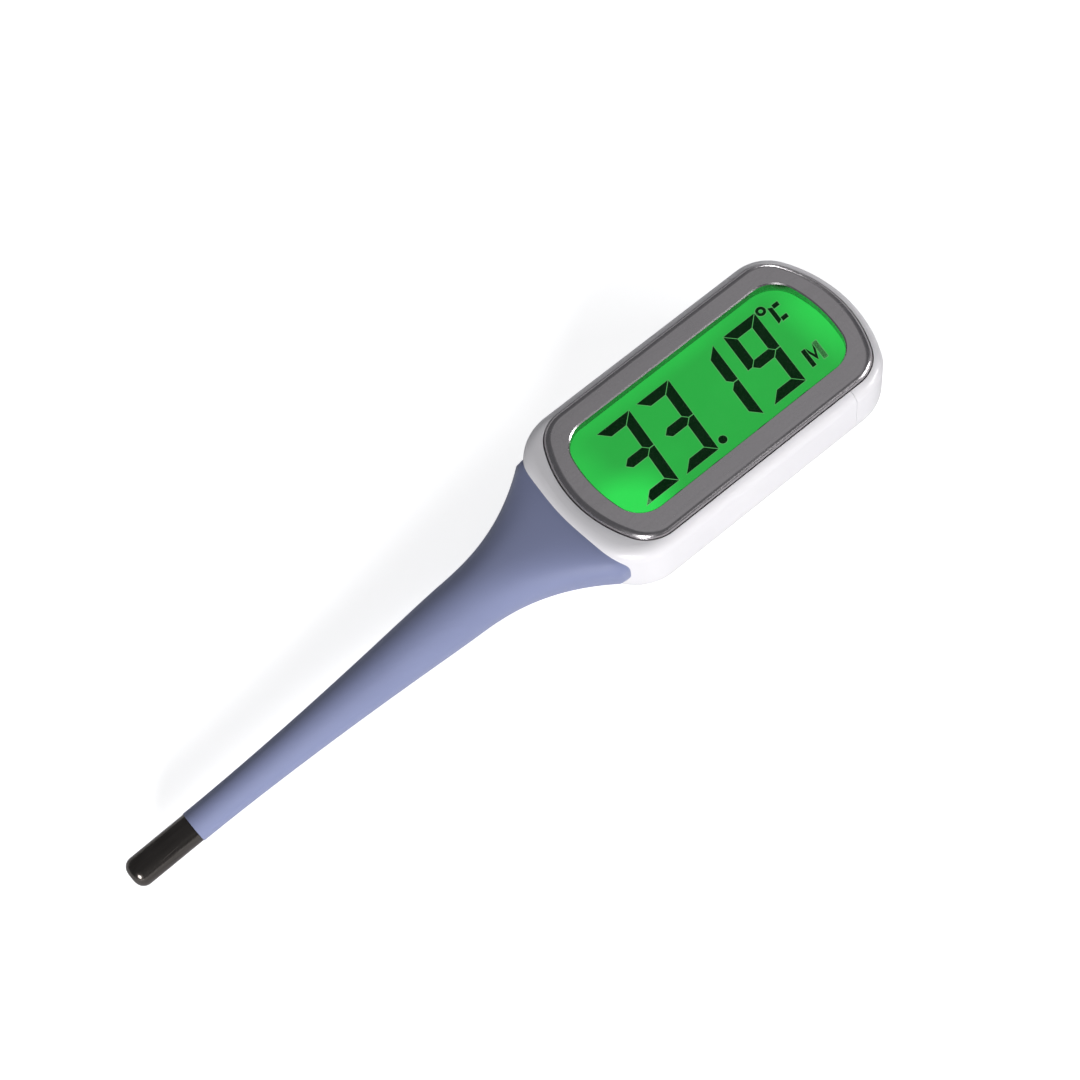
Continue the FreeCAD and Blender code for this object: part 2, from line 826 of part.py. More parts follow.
def neck_section(distance):
    """Closed oval section of the neck, a distance out from the head along X."""
    share = distance / neck_span
    if share < 1:
        fade = (1 - share) ** neck_flare_power
        half_width = stem_root_radius + (neck_half_width - stem_root_radius) * fade
        half_height = stem_root_radius + (neck_half_height - stem_root_radius) * min(1.0, 1 - share)
        height = stem_root_height + (neck_axis_height - stem_root_height) * min(1.0, 1 - share)
        power = 2 + neck_squareness * (1 - share) ** 2
        tilt = 0.0
    else:
        past = (distance - neck_span) / math.cos(droop)
        half_width = stem_radius(past)
        half_height = half_width
        height = stem_root_height - past * math.sin(droop)
        power = 2
        tilt = droop
    centre = Vector(neck_end_x - distance, 0, height)
    edges = []
    for quarter in range(4):
        points = []
        for step in range(5):
            angle = math.pi * (0.25 + quarter / 2 + step / 8)
            c = math.cos(angle)
            s = math.sin(angle)
            y = half_width * math.copysign(abs(c) ** (2 / power), c)
            z = half_height * math.copysign(abs(s) ** (2 / power), s)
            points.append(centre + Vector(z * math.sin(tilt), y, z * math.cos(tilt)))
        curve = Part.BSplineCurve()
        curve.interpolate(points)
        edges.append(curve.toShape())
    return Part.Wire(edges)


def joint_distance(index):
    return joint_first + index * joint_pitch


def joint_knuckle(index, gap):
    """Round knuckle about a bending joint's crosswise axis, or the room for it when a gap is given."""
    distance = joint_distance(index)
    radius = knuckle_ratio * stem_radius(distance) + gap
    return Part.makeCylinder(radius, 60, along_stem(distance, -30), Vector(0, 1, 0))


def inboard_side(index):
    """Everything on the head's side of a bending joint's centre."""
    return Part.makeCylinder(60, 120, along_stem(joint_distance(index)), stem_direction * -1)


def neck_body():
    """Oval neck before it is cut to fit the head, out past the first bending joint."""
    reach = neck_span + joint_distance(0) + 2 * stem_root_radius
    sections = [neck_section(share * neck_span) for share in neck_section_shares]
    for step in range(4):
        sections.append(neck_section(neck_span + (reach - neck_span) * step / 3))
    return Part.makeLoft(sections, True)


def neck_sleeve():
    solid = neck_body()
    keep = inboard_side(0).fuse(joint_knuckle(0, 0))
    solid = solid.common(keep)
    solid = solid.cut(head_outside())
    solid = solid.cut(neck_core_blank())
    return solid.cut(rod(-core_length, joint_distance(0) + 10, stem_bore_radius))


def neck_core_blank():
    """Outer form of the rigid core: a flange inside the head and a cone in the soft neck."""
    inner_x = head_low_x + shell_wall
    flange = Part.makeCylinder(
        core_flange_radius, core_flange_thickness,
        Vector(inner_x, 0, neck_axis_height), Vector(1, 0, 0),
    )
    cone = Part.makeCone(
        core_root_radius, core_tip_radius, core_length,
        Vector(inner_x, 0, neck_axis_height), Vector(-1, 0, 0),
    )
    return flange.fuse(cone)


def neck_core():
    bore = Part.makeCylinder(
        core_bore_radius, core_length + 20,
        Vector(head_low_x + 10, 0, neck_axis_height), Vector(-1, 0, 0),
    )
    return neck_core_blank().cut(bore)


def stem_profile(start, end):
    """Solid of revolution of the tapering stem between two distances from its root."""
    steps = 6
    outline = [Vector(start + (end - start) * i / steps, 0, 0) for i in range(steps + 1)]
    outline = [Vector(p.x, stem_radius(p.x), 0) for p in outline]
    curve = Part.BSplineCurve()
    curve.interpolate(outline)
    edges = [
        curve.toShape(),
        Part.LineSegment(outline[-1], Vector(end, 0, 0)).toShape(),
        Part.LineSegment(Vector(end, 0, 0), Vector(start, 0, 0)).toShape(),
        Part.LineSegment(Vector(start, 0, 0), outline[0]).toShape(),
    ]
    solid = Part.Face(Part.Wire(edges)).revolve(Vector(0, 0, 0), Vector(1, 0, 0), 360)
    solid.rotate(Vector(0, 0, 0), Vector(0, 1, 0), 180 - stem_droop_deg)
    solid.translate(along_stem(0))
    return solid


def stem_segment(index):
    """One soft segment: hollow end over the knuckle behind it, round end towards the tip."""
    start = joint_distance(index)
    is_last = index == joint_count - 1
    end = soft_length if is_last else joint_distance(index + 1) + 2 * stem_root_radius
    solid = stem_profile(start, min(end, soft_length))
    solid = solid.cut(joint_knuckle(index, joint_gap))
    if is_last:
        solid = solid.cut(rod(soft_length - cap_collar_length, soft_length + 1, cap_collar_radius))
    else:
        solid = solid.common(inboard_side(index + 1).fuse(joint_knuckle(index + 1, 0)))
    return solid.cut(rod(start - 5, soft_length + 1, stem_bore_radius))


def segment_span(index):
    """Distances between which a segment's bore runs."""
    start = joint_distance(index) + knuckle_ratio * stem_radius(joint_distance(index)) + joint_gap
    if index == joint_count - 1:
        return start, soft_length - cap_collar_length
    after = joint_distance(index + 1)
    return start, after + knuckle_ratio * stem_radius(after)


def lead_pair(start, end):
    solids = [rod(start, end, lead_radius, side * lead_offset) for side in (-1, 1)]
    return Part.makeCompound(solids)


def segment_leads(index):
    start, end = segment_span(index)
    if index == joint_count - 1:
        return lead_pair(start + lead_end_gap, bead_distance() - bead_radius)
    return lead_pair(start + lead_end_gap, end - lead_end_gap)


def neck_leads():
    start = -(head_low_x + shell_wall + lead_reach - stem_root_x)
    end = joint_distance(0) + knuckle_ratio * stem_radius(joint_distance(0)) - lead_end_gap
    return lead_pair(start, end)


# ---- Metal cap -----------------------------------------------------------------------------------


def bead_distance():
    return stem_length - cap_wall - bead_from_nose - bead_radius


def cap_blank(inset):
    """Cap's outer form, or its hollow when an inset is given."""
    tube = rod(soft_length, stem_length - inset, cap_radius - inset)
    nose = [edge for edge in tube.Edges if edge.Length > 1 and edge.CenterOfMass.x < tip_x + inset + 0.5]
    tube = tube.makeFillet(cap_nose_radius - inset / 2, nose)
    collar_rod = rod(soft_length - cap_collar_length, soft_length + 1, cap_collar_radius - inset)
    return tube, collar_rod


def sensor_cap():
    tube, collar_rod = cap_blank(0)
    hollow, hollow_collar = cap_blank(cap_wall)
    hollow = hollow.common(rod(soft_length + cap_wall, stem_length, cap_radius))
    hollow_collar = hollow_collar.fuse(rod(soft_length - cap_collar_length - 1, soft_length, 1.0))
    return tube.fuse(collar_rod).cut(hollow).cut(hollow_collar).removeSplitter()


def cap_filling():
    """Resin that fixes the bead and the leads in the cap's nose."""
    hollow, _ = cap_blank(cap_wall)
    solid = hollow.common(rod(soft_length + cap_wall, stem_length, cap_radius))
    solid = solid.cut(sensor_bead())
    return solid.cut(segment_leads(joint_count - 1))


def sensor_bead():
    return Part.makeSphere(bead_radius, along_stem(bead_distance()))


# ---- Output --------------------------------------------------------------------------------------


def write(name, shape):
    shape.exportStep("parts/" + name + ".step")


def main():
    os.makedirs("parts", exist_ok=True)
    write("front_housing", front_housing())
    write("rear_housing", rear_housing())
    write("battery_cover", battery_cover())
    write("housing_gasket", gasket())
    write("case_screw_left", screw(-1))
    write("case_screw_right", screw(1))
    write("bezel", bezel_ring())
    write("display_window", display_window())
    write("front_polariser", lcd_layer(lcd_margin, front_polariser_bottom, polariser_thickness))
    write("lcd_front_glass", lcd_front_glass())
    write("lcd_segments", lcd_segments())
    write("lcd_rear_glass", lcd_layer(lcd_margin, rear_glass_bottom, glass_thickness))
    write("rear_polariser", lcd_layer(lcd_margin, rear_polariser_bottom, polariser_thickness))
    write("light_diffuser", lcd_layer(lcd_margin, diffuser_bottom, diffuser_thickness))
    write("light_guide", lcd_layer(lcd_margin, guide_bottom, guide_thickness))
    write("light_reflector", lcd_layer(lcd_margin, reflector_bottom, reflector_thickness))
    write("backlight_led_left", backlight_led(-1))
    write("backlight_led_right", backlight_led(1))
    write("display_holder", display_holder())
    write("zebra_connector", zebra_connector())
    write("circuit_board", circuit_board())
    write("controller_chip", controller_chip())
    write("crystal", crystal())
    write("board_parts", board_parts())
    write("switch_body", switch_body())
    write("switch_plunger", switch_plunger())
    write("power_button", power_button())
    write("buzzer_ring", buzzer_ring())
    write("buzzer_plate", buzzer_plate())
    write("buzzer_ceramic", buzzer_ceramic_disc())
    write("battery_tray", battery_tray())
    write("button_cell", button_cell())
    write("negative_contact", negative_contact())
    write("positive_contact", positive_contact())
    write("neck_core", neck_core())
    write("neck_sleeve", neck_sleeve())
    write("neck_leads", neck_leads())
    for index in range(joint_count):
        write("stem_segment_" + str(index + 1), stem_segment(index))
        write("stem_leads_" + str(index + 1), segment_leads(index))
    write("sensor_cap", sensor_cap())
    write("cap_filling", cap_filling())
    write("sensor_bead", sensor_bead())


main()
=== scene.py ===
# %% [markdown]
# # A digital thermometer with a wide lit display and a soft stem
# The exact mechanical model is the frame of this scene: every housing, lens, screw and spring is already
# there, in metres, and stays where it is. Blender adds what a machining model leaves out: the soft
# stem's skin as one flowing form, the light inside the display, and the surface of every material.

# %% Load the frame
import json
import math

import bmesh
import bpy
from mathutils import Matrix, Vector


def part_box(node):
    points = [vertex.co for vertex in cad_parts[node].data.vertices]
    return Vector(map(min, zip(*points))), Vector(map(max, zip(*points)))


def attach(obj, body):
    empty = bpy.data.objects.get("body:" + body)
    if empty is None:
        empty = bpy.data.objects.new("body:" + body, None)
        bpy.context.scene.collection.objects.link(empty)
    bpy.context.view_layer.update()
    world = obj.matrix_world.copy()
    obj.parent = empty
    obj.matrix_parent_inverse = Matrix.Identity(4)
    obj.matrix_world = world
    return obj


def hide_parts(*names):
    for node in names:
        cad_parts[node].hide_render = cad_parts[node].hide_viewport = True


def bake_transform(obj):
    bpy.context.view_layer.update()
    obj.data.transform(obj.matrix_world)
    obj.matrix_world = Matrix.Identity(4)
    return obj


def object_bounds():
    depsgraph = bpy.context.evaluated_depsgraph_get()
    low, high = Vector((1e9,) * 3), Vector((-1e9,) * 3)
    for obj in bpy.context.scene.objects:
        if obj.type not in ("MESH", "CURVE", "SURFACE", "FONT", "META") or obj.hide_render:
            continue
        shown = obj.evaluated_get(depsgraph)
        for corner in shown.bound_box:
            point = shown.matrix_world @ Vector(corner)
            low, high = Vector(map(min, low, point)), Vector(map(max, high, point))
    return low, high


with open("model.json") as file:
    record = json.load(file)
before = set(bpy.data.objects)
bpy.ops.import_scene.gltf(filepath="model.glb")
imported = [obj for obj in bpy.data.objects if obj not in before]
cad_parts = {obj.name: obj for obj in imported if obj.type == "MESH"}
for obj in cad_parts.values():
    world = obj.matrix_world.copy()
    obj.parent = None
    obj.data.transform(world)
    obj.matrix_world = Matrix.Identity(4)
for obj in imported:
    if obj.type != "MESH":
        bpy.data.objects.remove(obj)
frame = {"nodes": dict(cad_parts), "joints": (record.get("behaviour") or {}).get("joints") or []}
cad_low, cad_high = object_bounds()
nodes = frame["nodes"]
joints = {joint["name"]: joint for joint in frame["joints"]}
MM = 0.001
centre = (cad_low + cad_high) / 2
print("frame box in mm:", [round(v / MM, 1) for v in (*cad_low, *cad_high)])

# %% [markdown]
# ## The camera
# The thermometer lies flat, and the camera looks down at it from the neck side. Such a view has three
# angles: how far the camera turns around the object, how far it tilts off the vertical, and how far the
# picture itself is rolled. Writing the camera's own axes from these angles keeps each one separate.

# %% Camera
VIEW_TURN = math.radians(13.3)
VIEW_TILT = math.radians(23.6)
VIEW_ROLL = math.radians(-38.0)
VIEW_DISTANCE = 310.2 * MM
VIEW_CENTRE = Vector((-29.8, 1.35, 7.35)) * MM
LENS = 73.0

toward = Vector((
    -math.sin(VIEW_TURN) * math.cos(VIEW_TILT),
    -math.sin(VIEW_TILT),
    math.cos(VIEW_TURN) * math.cos(VIEW_TILT),
))
level_x = (Vector((1, 0, 0)) - toward.x * toward).normalized()
level_y = toward.cross(level_x)
right = math.cos(VIEW_ROLL) * level_x + math.sin(VIEW_ROLL) * level_y
up = toward.cross(right)
camera_data = bpy.data.cameras.new("camera")
camera_data.lens = LENS
camera = bpy.data.objects.new("camera", camera_data)
camera.matrix_world = Matrix.Translation(VIEW_CENTRE + toward * VIEW_DISTANCE) @ Matrix(
    (right, up, toward)
).transposed().to_4x4()
bpy.context.scene.collection.objects.link(camera)
bpy.context.scene.camera = camera
print("camera at", [round(v / MM, 1) for v in camera.matrix_world.translation])

# %% [markdown]
# ## Studio
# A pale table, a dim sky, and soft boxes. The main box stands low on the stem's near side, so that the
# round stem falls from light to dark across its width, and its mirror image lands on one corner
# of the metal bezel only. The straight edges of the bezel stay quiet.

# %% Floor, sky and soft boxes
FLOOR_SIZE = 4.0
FLOOR_GLOW = 0.72
SKY_LIGHT = 0.16
SKY_SEEN = 1.05


def make_floor():
    mesh = bpy.data.meshes.new("floor")
    half = FLOOR_SIZE / 2
    corners = [(x, y, cad_low.z) for x, y in ((-half, -half), (half, -half), (half, half), (-half, half))]
    mesh.from_pydata(corners, [], [(0, 1, 2, 3)])
    floor = bpy.data.objects.new("floor", mesh)
    bpy.context.scene.collection.objects.link(floor)
    material = bpy.data.materials.new("pale_floor")
    material.use_nodes = True
    tree = material.node_tree
    shader = tree.nodes["Principled BSDF"]
    shader.inputs["Base Color"].default_value = (0.80, 0.80, 0.81, 1)
    shader.inputs["Roughness"].default_value = 0.9
    shader.inputs["Emission Color"].default_value = (1, 1, 1, 1)
    rays = tree.nodes.new("ShaderNodeLightPath")
    glow = tree.nodes.new("ShaderNodeMath")
    glow.operation = "MULTIPLY"
    glow.inputs[1].default_value = FLOOR_GLOW
    tree.links.new(rays.outputs["Is Camera Ray"], glow.inputs[0])
    tree.links.new(glow.outputs[0], shader.inputs["Emission Strength"])
    mesh.materials.append(material)
    return floor


def soft_box(name, direction, distance, width, height, power):
    data = bpy.data.lights.new(name, "AREA")
    data.shape = "RECTANGLE"
    data.size = width
    data.size_y = height
    data.energy = power
    box = bpy.data.objects.new(name, data)
    aim = Vector(direction).normalized()
    turn = aim.to_track_quat("Z", "Y").to_matrix().to_4x4()
    box.matrix_world = Matrix.Translation(centre + aim * distance) @ turn
    bpy.context.scene.collection.objects.link(box)


make_floor()
soft_box("near_box", (-0.68, -0.64, 0.34), 0.50, 0.13, 0.10, 2.4)
soft_box("far_end_box", (0.75, -0.62, 0.22), 0.60, 0.30, 0.12, 1.7)
soft_box("overhead_card", (0.30, 0.03, 0.95), 0.90, 0.90, 0.62, 0.50)
soft_box("edge_strip", (0.21, -0.86, 0.37), 0.50, 0.30, 0.04, 0.045)
soft_box("end_tick", (0.69, 0.61, 0.38), 0.60, 0.08, 0.08, 0.45)
world = bpy.data.worlds.new("sky")
world.use_nodes = True
sky = world.node_tree.nodes["Background"]
sky.inputs["Color"].default_value = (0.86, 0.88, 0.92, 1)
sky_rays = world.node_tree.nodes.new("ShaderNodeLightPath")
sky_seen = world.node_tree.nodes.new("ShaderNodeMapRange")
sky_seen.inputs["To Min"].default_value = SKY_LIGHT
sky_seen.inputs["To Max"].default_value = SKY_SEEN
world.node_tree.links.new(sky_rays.outputs["Is Camera Ray"], sky_seen.inputs["Value"])
world.node_tree.links.new(sky_seen.outputs["Result"], sky.inputs["Strength"])
bpy.context.scene.world = world
bpy.context.scene.view_settings.view_transform = "Standard"

# %% [markdown]
# ## Arithmetic for node trees
# Both geometry and shader trees do sums with Math nodes, which soon hides the formula. The small class
# below lets a formula be written as ordinary Python: each +, * or ** on it adds one Math node, and the
# same formula then works in either kind of tree.

# %% Formula helper


class Sum:
    """A number in a node tree. Arithmetic on it adds Math nodes to that tree."""

    def __init__(self, tree, socket):
        self.tree = tree
        self.socket = socket

    def math(self, operation, *others):
        node = self.tree.nodes.new("ShaderNodeMath")
        node.operation = operation
        for slot, value in enumerate((self, *others)):
            if isinstance(value, Sum):
                self.tree.links.new(value.socket, node.inputs[slot])
            else:
                node.inputs[slot].default_value = value
        return Sum(self.tree, node.outputs[0])

    def __add__(self, other):
        return self.math("ADD", other)

    def __sub__(self, other):
        return self.math("SUBTRACT", other)

    def __mul__(self, other):
        return self.math("MULTIPLY", other)

    def __truediv__(self, other):
        return self.math("DIVIDE", other)

    def __pow__(self, other):
        return self.math("POWER", other)

    def __rsub__(self, other):
        return self.math("MULTIPLY_ADD", -1.0, other)

    def __rtruediv__(self, other):
        return self ** -1.0 * other

    def least(self, other):
        return self.math("MINIMUM", other)

    def most(self, other):
        return self.math("MAXIMUM", other)


def socket_in(tree, name, kind, default=None):
    """Adds a named input to a node group."""
    item = tree.interface.new_socket(name=name, in_out="INPUT", socket_type=kind)
    if default is not None:
        item.default_value = default
    return item


def add_node(tree, kind, **settings):
    node = tree.nodes.new(kind)
    for key, value in settings.items():
        setattr(node, key, value)
    return node


def feed(tree, value, target):
    """Puts a plain number, or what another socket gives, into an input."""
    if isinstance(value, (int, float)):
        target.default_value = value
    else:
        tree.links.new(value, target)


print("formula helper ready")

# %% [markdown]
# ## Shared surface effects
# Three effects turn up on many parts, so each is a node group that is built once. **moulded_finish** is
# plastic and rubber: a slow drift of colour over the part, a slow drift of gloss, and the fine spark
# texture of the mould as height. **drawn_metal** is the same idea for metal, with its pattern
# stretched into drawing or turning lines. **handling_marks** gives the faint crossing hairlines that
# wiping leaves on anything glossy, as a mask.

# %% Moulded finish group


def new_group(name, inputs, outputs):
    group = bpy.data.node_groups.new(name, "ShaderNodeTree")
    for label, kind, default in inputs:
        socket_in(group, label, kind, default)
    for label, kind in outputs:
        group.interface.new_socket(name=label, in_out="OUTPUT", socket_type=kind)
    entry = group.nodes.new("NodeGroupInput")
    leave = group.nodes.new("NodeGroupOutput")
    return group, entry, leave


def object_noise(group, scale, detail, stretch_socket=None):
    """Noise on Object coordinates, so that the pattern stays put on its part."""
    place = group.nodes.new("ShaderNodeTexCoord")
    noise = add_node(group, "ShaderNodeTexNoise")
    noise.inputs["Detail"].default_value = detail
    source = place.outputs["Object"]
    if stretch_socket is not None:
        stretch = add_node(group, "ShaderNodeVectorMath", operation="MULTIPLY")
        group.links.new(source, stretch.inputs[0])
        group.links.new(stretch_socket, stretch.inputs[1])
        source = stretch.outputs[0]
    group.links.new(source, noise.inputs["Vector"])
    feed(group, scale, noise.inputs["Scale"])
    return noise.outputs["Fac"]


def spread(group, fac, low, high):
    """Stretches the middle of a noise over a range given by two sockets or numbers."""
    node = group.nodes.new("ShaderNodeMapRange")
    node.inputs["From Min"].default_value = 0.3
    node.inputs["From Max"].default_value = 0.7
    group.links.new(fac, node.inputs["Value"])
    feed(group, low, node.inputs["To Min"])
    feed(group, high, node.inputs["To Max"])
    return node.outputs["Result"]


def colour_between(group, fac, first, second):
    node = add_node(group, "ShaderNodeMix", data_type="RGBA")
    group.links.new(fac, node.inputs["Factor"])
    group.links.new(first, node.inputs["A"])
    group.links.new(second, node.inputs["B"])
    return node.outputs["Result"]


FLOAT, COLOUR, VECTOR, INT = "NodeSocketFloat", "NodeSocketColor", "NodeSocketVector", "NodeSocketInt"
GREY = (0.5, 0.5, 0.5, 1.0)
moulded_finish, entry, leave = new_group(
    "moulded_finish",
    [("Colour", COLOUR, GREY), ("Second Colour", COLOUR, GREY), ("Drift Scale", FLOAT, 60.0),
     ("Grain Scale", FLOAT, 3000.0), ("Gloss Low", FLOAT, 0.3), ("Gloss High", FLOAT, 0.4)],
    [("Colour", COLOUR), ("Roughness", FLOAT), ("Height", FLOAT)],
)
drift = object_noise(moulded_finish, entry.outputs["Drift Scale"], 3.0)
grain = object_noise(moulded_finish, entry.outputs["Grain Scale"], 2.0)
shade = spread(moulded_finish, drift, 0.0, 1.0)
moulded_finish.links.new(
    colour_between(moulded_finish, shade, entry.outputs["Colour"], entry.outputs["Second Colour"]),
    leave.inputs["Colour"],
)
moulded_finish.links.new(
    spread(moulded_finish, grain, entry.outputs["Gloss Low"], entry.outputs["Gloss High"]),
    leave.inputs["Roughness"],
)
moulded_finish.links.new(grain, leave.inputs["Height"])
print("group", moulded_finish.name, "has", len(moulded_finish.nodes), "nodes")

# %% Drawn metal group
drawn_metal, entry, leave = new_group(
    "drawn_metal",
    [("Colour", COLOUR, GREY), ("Second Colour", COLOUR, GREY),
     ("Line Stretch", VECTOR, (400.0, 4000.0, 4000.0)),
     ("Gloss Low", FLOAT, 0.2), ("Gloss High", FLOAT, 0.3)],
    [("Colour", COLOUR), ("Roughness", FLOAT), ("Height", FLOAT)],
)
lines = object_noise(drawn_metal, 1.0, 2.0, entry.outputs["Line Stretch"])
cloud = object_noise(drawn_metal, 120.0, 2.0)
mixed = (Sum(drawn_metal, lines) * 0.6 + Sum(drawn_metal, cloud) * 0.4).socket
drawn_metal.links.new(
    colour_between(
        drawn_metal, spread(drawn_metal, mixed, 0.0, 1.0),
        entry.outputs["Colour"], entry.outputs["Second Colour"],
    ),
    leave.inputs["Colour"],
)
drawn_metal.links.new(
    spread(drawn_metal, mixed, entry.outputs["Gloss Low"], entry.outputs["Gloss High"]),
    leave.inputs["Roughness"],
)
drawn_metal.links.new(lines, leave.inputs["Height"])
print("group", drawn_metal.name, "has", len(drawn_metal.nodes), "nodes")

# %% Handling marks group
handling_marks, entry, leave = new_group(
    "handling_marks",
    [("Mark Scale", FLOAT, 90.0), ("Width", FLOAT, 0.02), ("Amount", FLOAT, 1.0)],
    [("Mask", FLOAT)],
)
masks = []
for turn_degrees in (25.0, -38.0, 74.0):
    place = handling_marks.nodes.new("ShaderNodeTexCoord")
    turned = add_node(handling_marks, "ShaderNodeMapping")
    turned.inputs["Rotation"].default_value = (0.0, 0.0, math.radians(turn_degrees))
    turned.inputs["Scale"].default_value = (0.12, 1.0, 1.0)
    noise = add_node(handling_marks, "ShaderNodeTexNoise")
    noise.inputs["Detail"].default_value = 1.0
    handling_marks.links.new(place.outputs["Object"], turned.inputs["Vector"])
    handling_marks.links.new(turned.outputs["Vector"], noise.inputs["Vector"])
    handling_marks.links.new(entry.outputs["Mark Scale"], noise.inputs["Scale"])
    level = Sum(handling_marks, noise.outputs["Fac"])
    distance_off = (level - 0.5).math("ABSOLUTE") / Sum(handling_marks, entry.outputs["Width"])
    masks.append((1.0 - distance_off).most(0.0))
strongest = masks[0].most(masks[1]).most(masks[2]) * Sum(handling_marks, entry.outputs["Amount"])
handling_marks.links.new(strongest.socket, leave.inputs["Mask"])
print("group", handling_marks.name, "has", len(handling_marks.nodes), "nodes")

# %% [markdown]
# ## Finishes
# Each finish is one material around a Principled shader. The groups feed its colour, roughness and a
# Bump node, and everything that is the same all over the surface is typed on the shader's own socket.
# Sizes matter more than anything else here: mould grain is a fifth of a millimetre, not a centimetre.

# %% Plastics and rubbers


def group_in(tree, group, **values):
    node = tree.nodes.new("ShaderNodeGroup")
    node.node_tree = group
    for label, value in values.items():
        node.inputs[label.replace("_", " ")].default_value = value
    return node


def bump_from(tree, height, depth):
    bump = tree.nodes.new("ShaderNodeBump")
    bump.inputs["Strength"].default_value = 1.0
    bump.inputs["Distance"].default_value = depth
    tree.links.new(height, bump.inputs["Height"])
    return bump.outputs["Normal"]


def opaque(rgb):
    return (*rgb, 1.0)


def start_material(name, **sockets):
    material = bpy.data.materials.new(name)
    material.use_nodes = True
    shader = material.node_tree.nodes["Principled BSDF"]
    for label, value in sockets.items():
        shader.inputs[label.replace("_", " ")].default_value = value
    return material, material.node_tree, shader


def moulded_material(name, first, second, gloss, grain_scale, grain_depth, **sockets):
    """Plastic, rubber, resin or film."""
    material, tree, shader = start_material(name, **sockets)
    finish = group_in(
        tree, moulded_finish, Colour=opaque(first), Second_Colour=opaque(second),
        Grain_Scale=grain_scale, Gloss_Low=gloss[0], Gloss_High=gloss[1],
    )
    tree.links.new(finish.outputs["Colour"], shader.inputs["Base Color"])
    tree.links.new(finish.outputs["Roughness"], shader.inputs["Roughness"])
    tree.links.new(bump_from(tree, finish.outputs["Height"], grain_depth), shader.inputs["Normal"])
    return material


MICRON = 1e-6
finishes = {}
plastics = [
    ("white_shell", (0.765, 0.75, 0.77), (0.74, 0.725, 0.75), (0.30, 0.38), 4200, 2.0 * MICRON),
    ("soft_blue", (0.212, 0.238, 0.390), (0.202, 0.227, 0.375), (0.50, 0.60), 5200, 5.0 * MICRON),
    ("inner_plastic", (0.62, 0.62, 0.60), (0.56, 0.56, 0.54), (0.40, 0.52), 2600, 5.0 * MICRON),
    ("seal_rubber", (0.05, 0.05, 0.055), (0.07, 0.07, 0.075), (0.60, 0.75), 3800, 6.0 * MICRON),
    ("zebra_rubber", (0.42, 0.20, 0.24), (0.36, 0.16, 0.20), (0.50, 0.65), 3000, 4.0 * MICRON),
    ("board_green", (0.020, 0.160, 0.060), (0.015, 0.125, 0.045), (0.28, 0.42), 900, 4.0 * MICRON),
    ("black_resin", (0.018, 0.018, 0.020), (0.028, 0.028, 0.030), (0.40, 0.55), 3500, 4.0 * MICRON),
    ("ceramic_parts", (0.70, 0.64, 0.52), (0.60, 0.54, 0.43), (0.35, 0.50), 2400, 3.0 * MICRON),
    ("led_body", (0.82, 0.80, 0.74), (0.74, 0.72, 0.66), (0.30, 0.40), 3000, 2.0 * MICRON),
    ("white_film", (0.88, 0.88, 0.87), (0.84, 0.84, 0.83), (0.20, 0.30), 2000, 1.0 * MICRON),
    ("lead_insulation", (0.50, 0.04, 0.03), (0.42, 0.03, 0.025), (0.35, 0.48), 3000, 2.0 * MICRON),
    ("potting_resin", (0.30, 0.20, 0.08), (0.24, 0.15, 0.06), (0.15, 0.30), 1500, 6.0 * MICRON),
]
for name, first, second, gloss, scale, depth in plastics:
    finishes[name] = moulded_material(name, first, second, gloss, scale, depth)
for name, label, value in (
    ("white_shell", "Coat Weight", 0.2), ("white_shell", "Coat Roughness", 0.12),
    ("soft_blue", "Sheen Weight", 0.25), ("soft_blue", "Sheen Roughness", 0.45),
    ("soft_blue", "Specular IOR Level", 0.35),
):
    finishes[name].node_tree.nodes["Principled BSDF"].inputs[label].default_value = value
print("plastics:", ", ".join(sorted(finishes)))

# %% Metals


def metal_material(name, first, second, gloss, stretch, mark_scale, mark_gloss, depth, **sockets):
    """Metal with drawing lines, and with hairline marks that are a little rougher than the rest."""
    material, tree, shader = start_material(name, Metallic=1.0, **sockets)
    finish = group_in(
        tree, drawn_metal, Colour=opaque(first), Second_Colour=opaque(second),
        Line_Stretch=stretch, Gloss_Low=gloss[0], Gloss_High=gloss[1],
    )
    marks = group_in(tree, handling_marks, Mark_Scale=mark_scale, Width=0.02)
    roughness = Sum(tree, marks.outputs["Mask"]) * mark_gloss + Sum(tree, finish.outputs["Roughness"])
    tree.links.new(finish.outputs["Colour"], shader.inputs["Base Color"])
    tree.links.new(roughness.socket, shader.inputs["Roughness"])
    tree.links.new(bump_from(tree, finish.outputs["Height"], depth), shader.inputs["Normal"])
    return material


EVEN = (2500.0, 2500.0, 2500.0)
LENGTHWAYS = (300.0, 5000.0, 5000.0)
metals = [
    ("bezel_metal", (0.50, 0.475, 0.49), (0.475, 0.45, 0.465), (0.20, 0.25), EVEN, 300, 0.04, 0.3 * MICRON),
    ("cap_steel", (0.16, 0.145, 0.135), (0.085, 0.076, 0.070), (0.16, 0.26), LENGTHWAYS, 220, 0.05, MICRON),
    ("screw_steel", (0.56, 0.55, 0.54), (0.44, 0.43, 0.42), (0.24, 0.36), EVEN, 300, 0.12, MICRON),
    ("brass", (0.72, 0.52, 0.22), (0.62, 0.43, 0.17), (0.22, 0.34), EVEN, 200, 0.12, MICRON),
    ("cell_steel", (0.66, 0.65, 0.63), (0.58, 0.57, 0.55), (0.18, 0.28), LENGTHWAYS, 160, 0.12, MICRON),
    ("contact_metal", (0.68, 0.64, 0.56), (0.58, 0.54, 0.46), (0.20, 0.32), LENGTHWAYS, 200, 0.12, MICRON),
]
for name, *numbers in metals:
    finishes[name] = metal_material(name, *numbers)
print("metals:", ", ".join(name for name, *_ in metals))

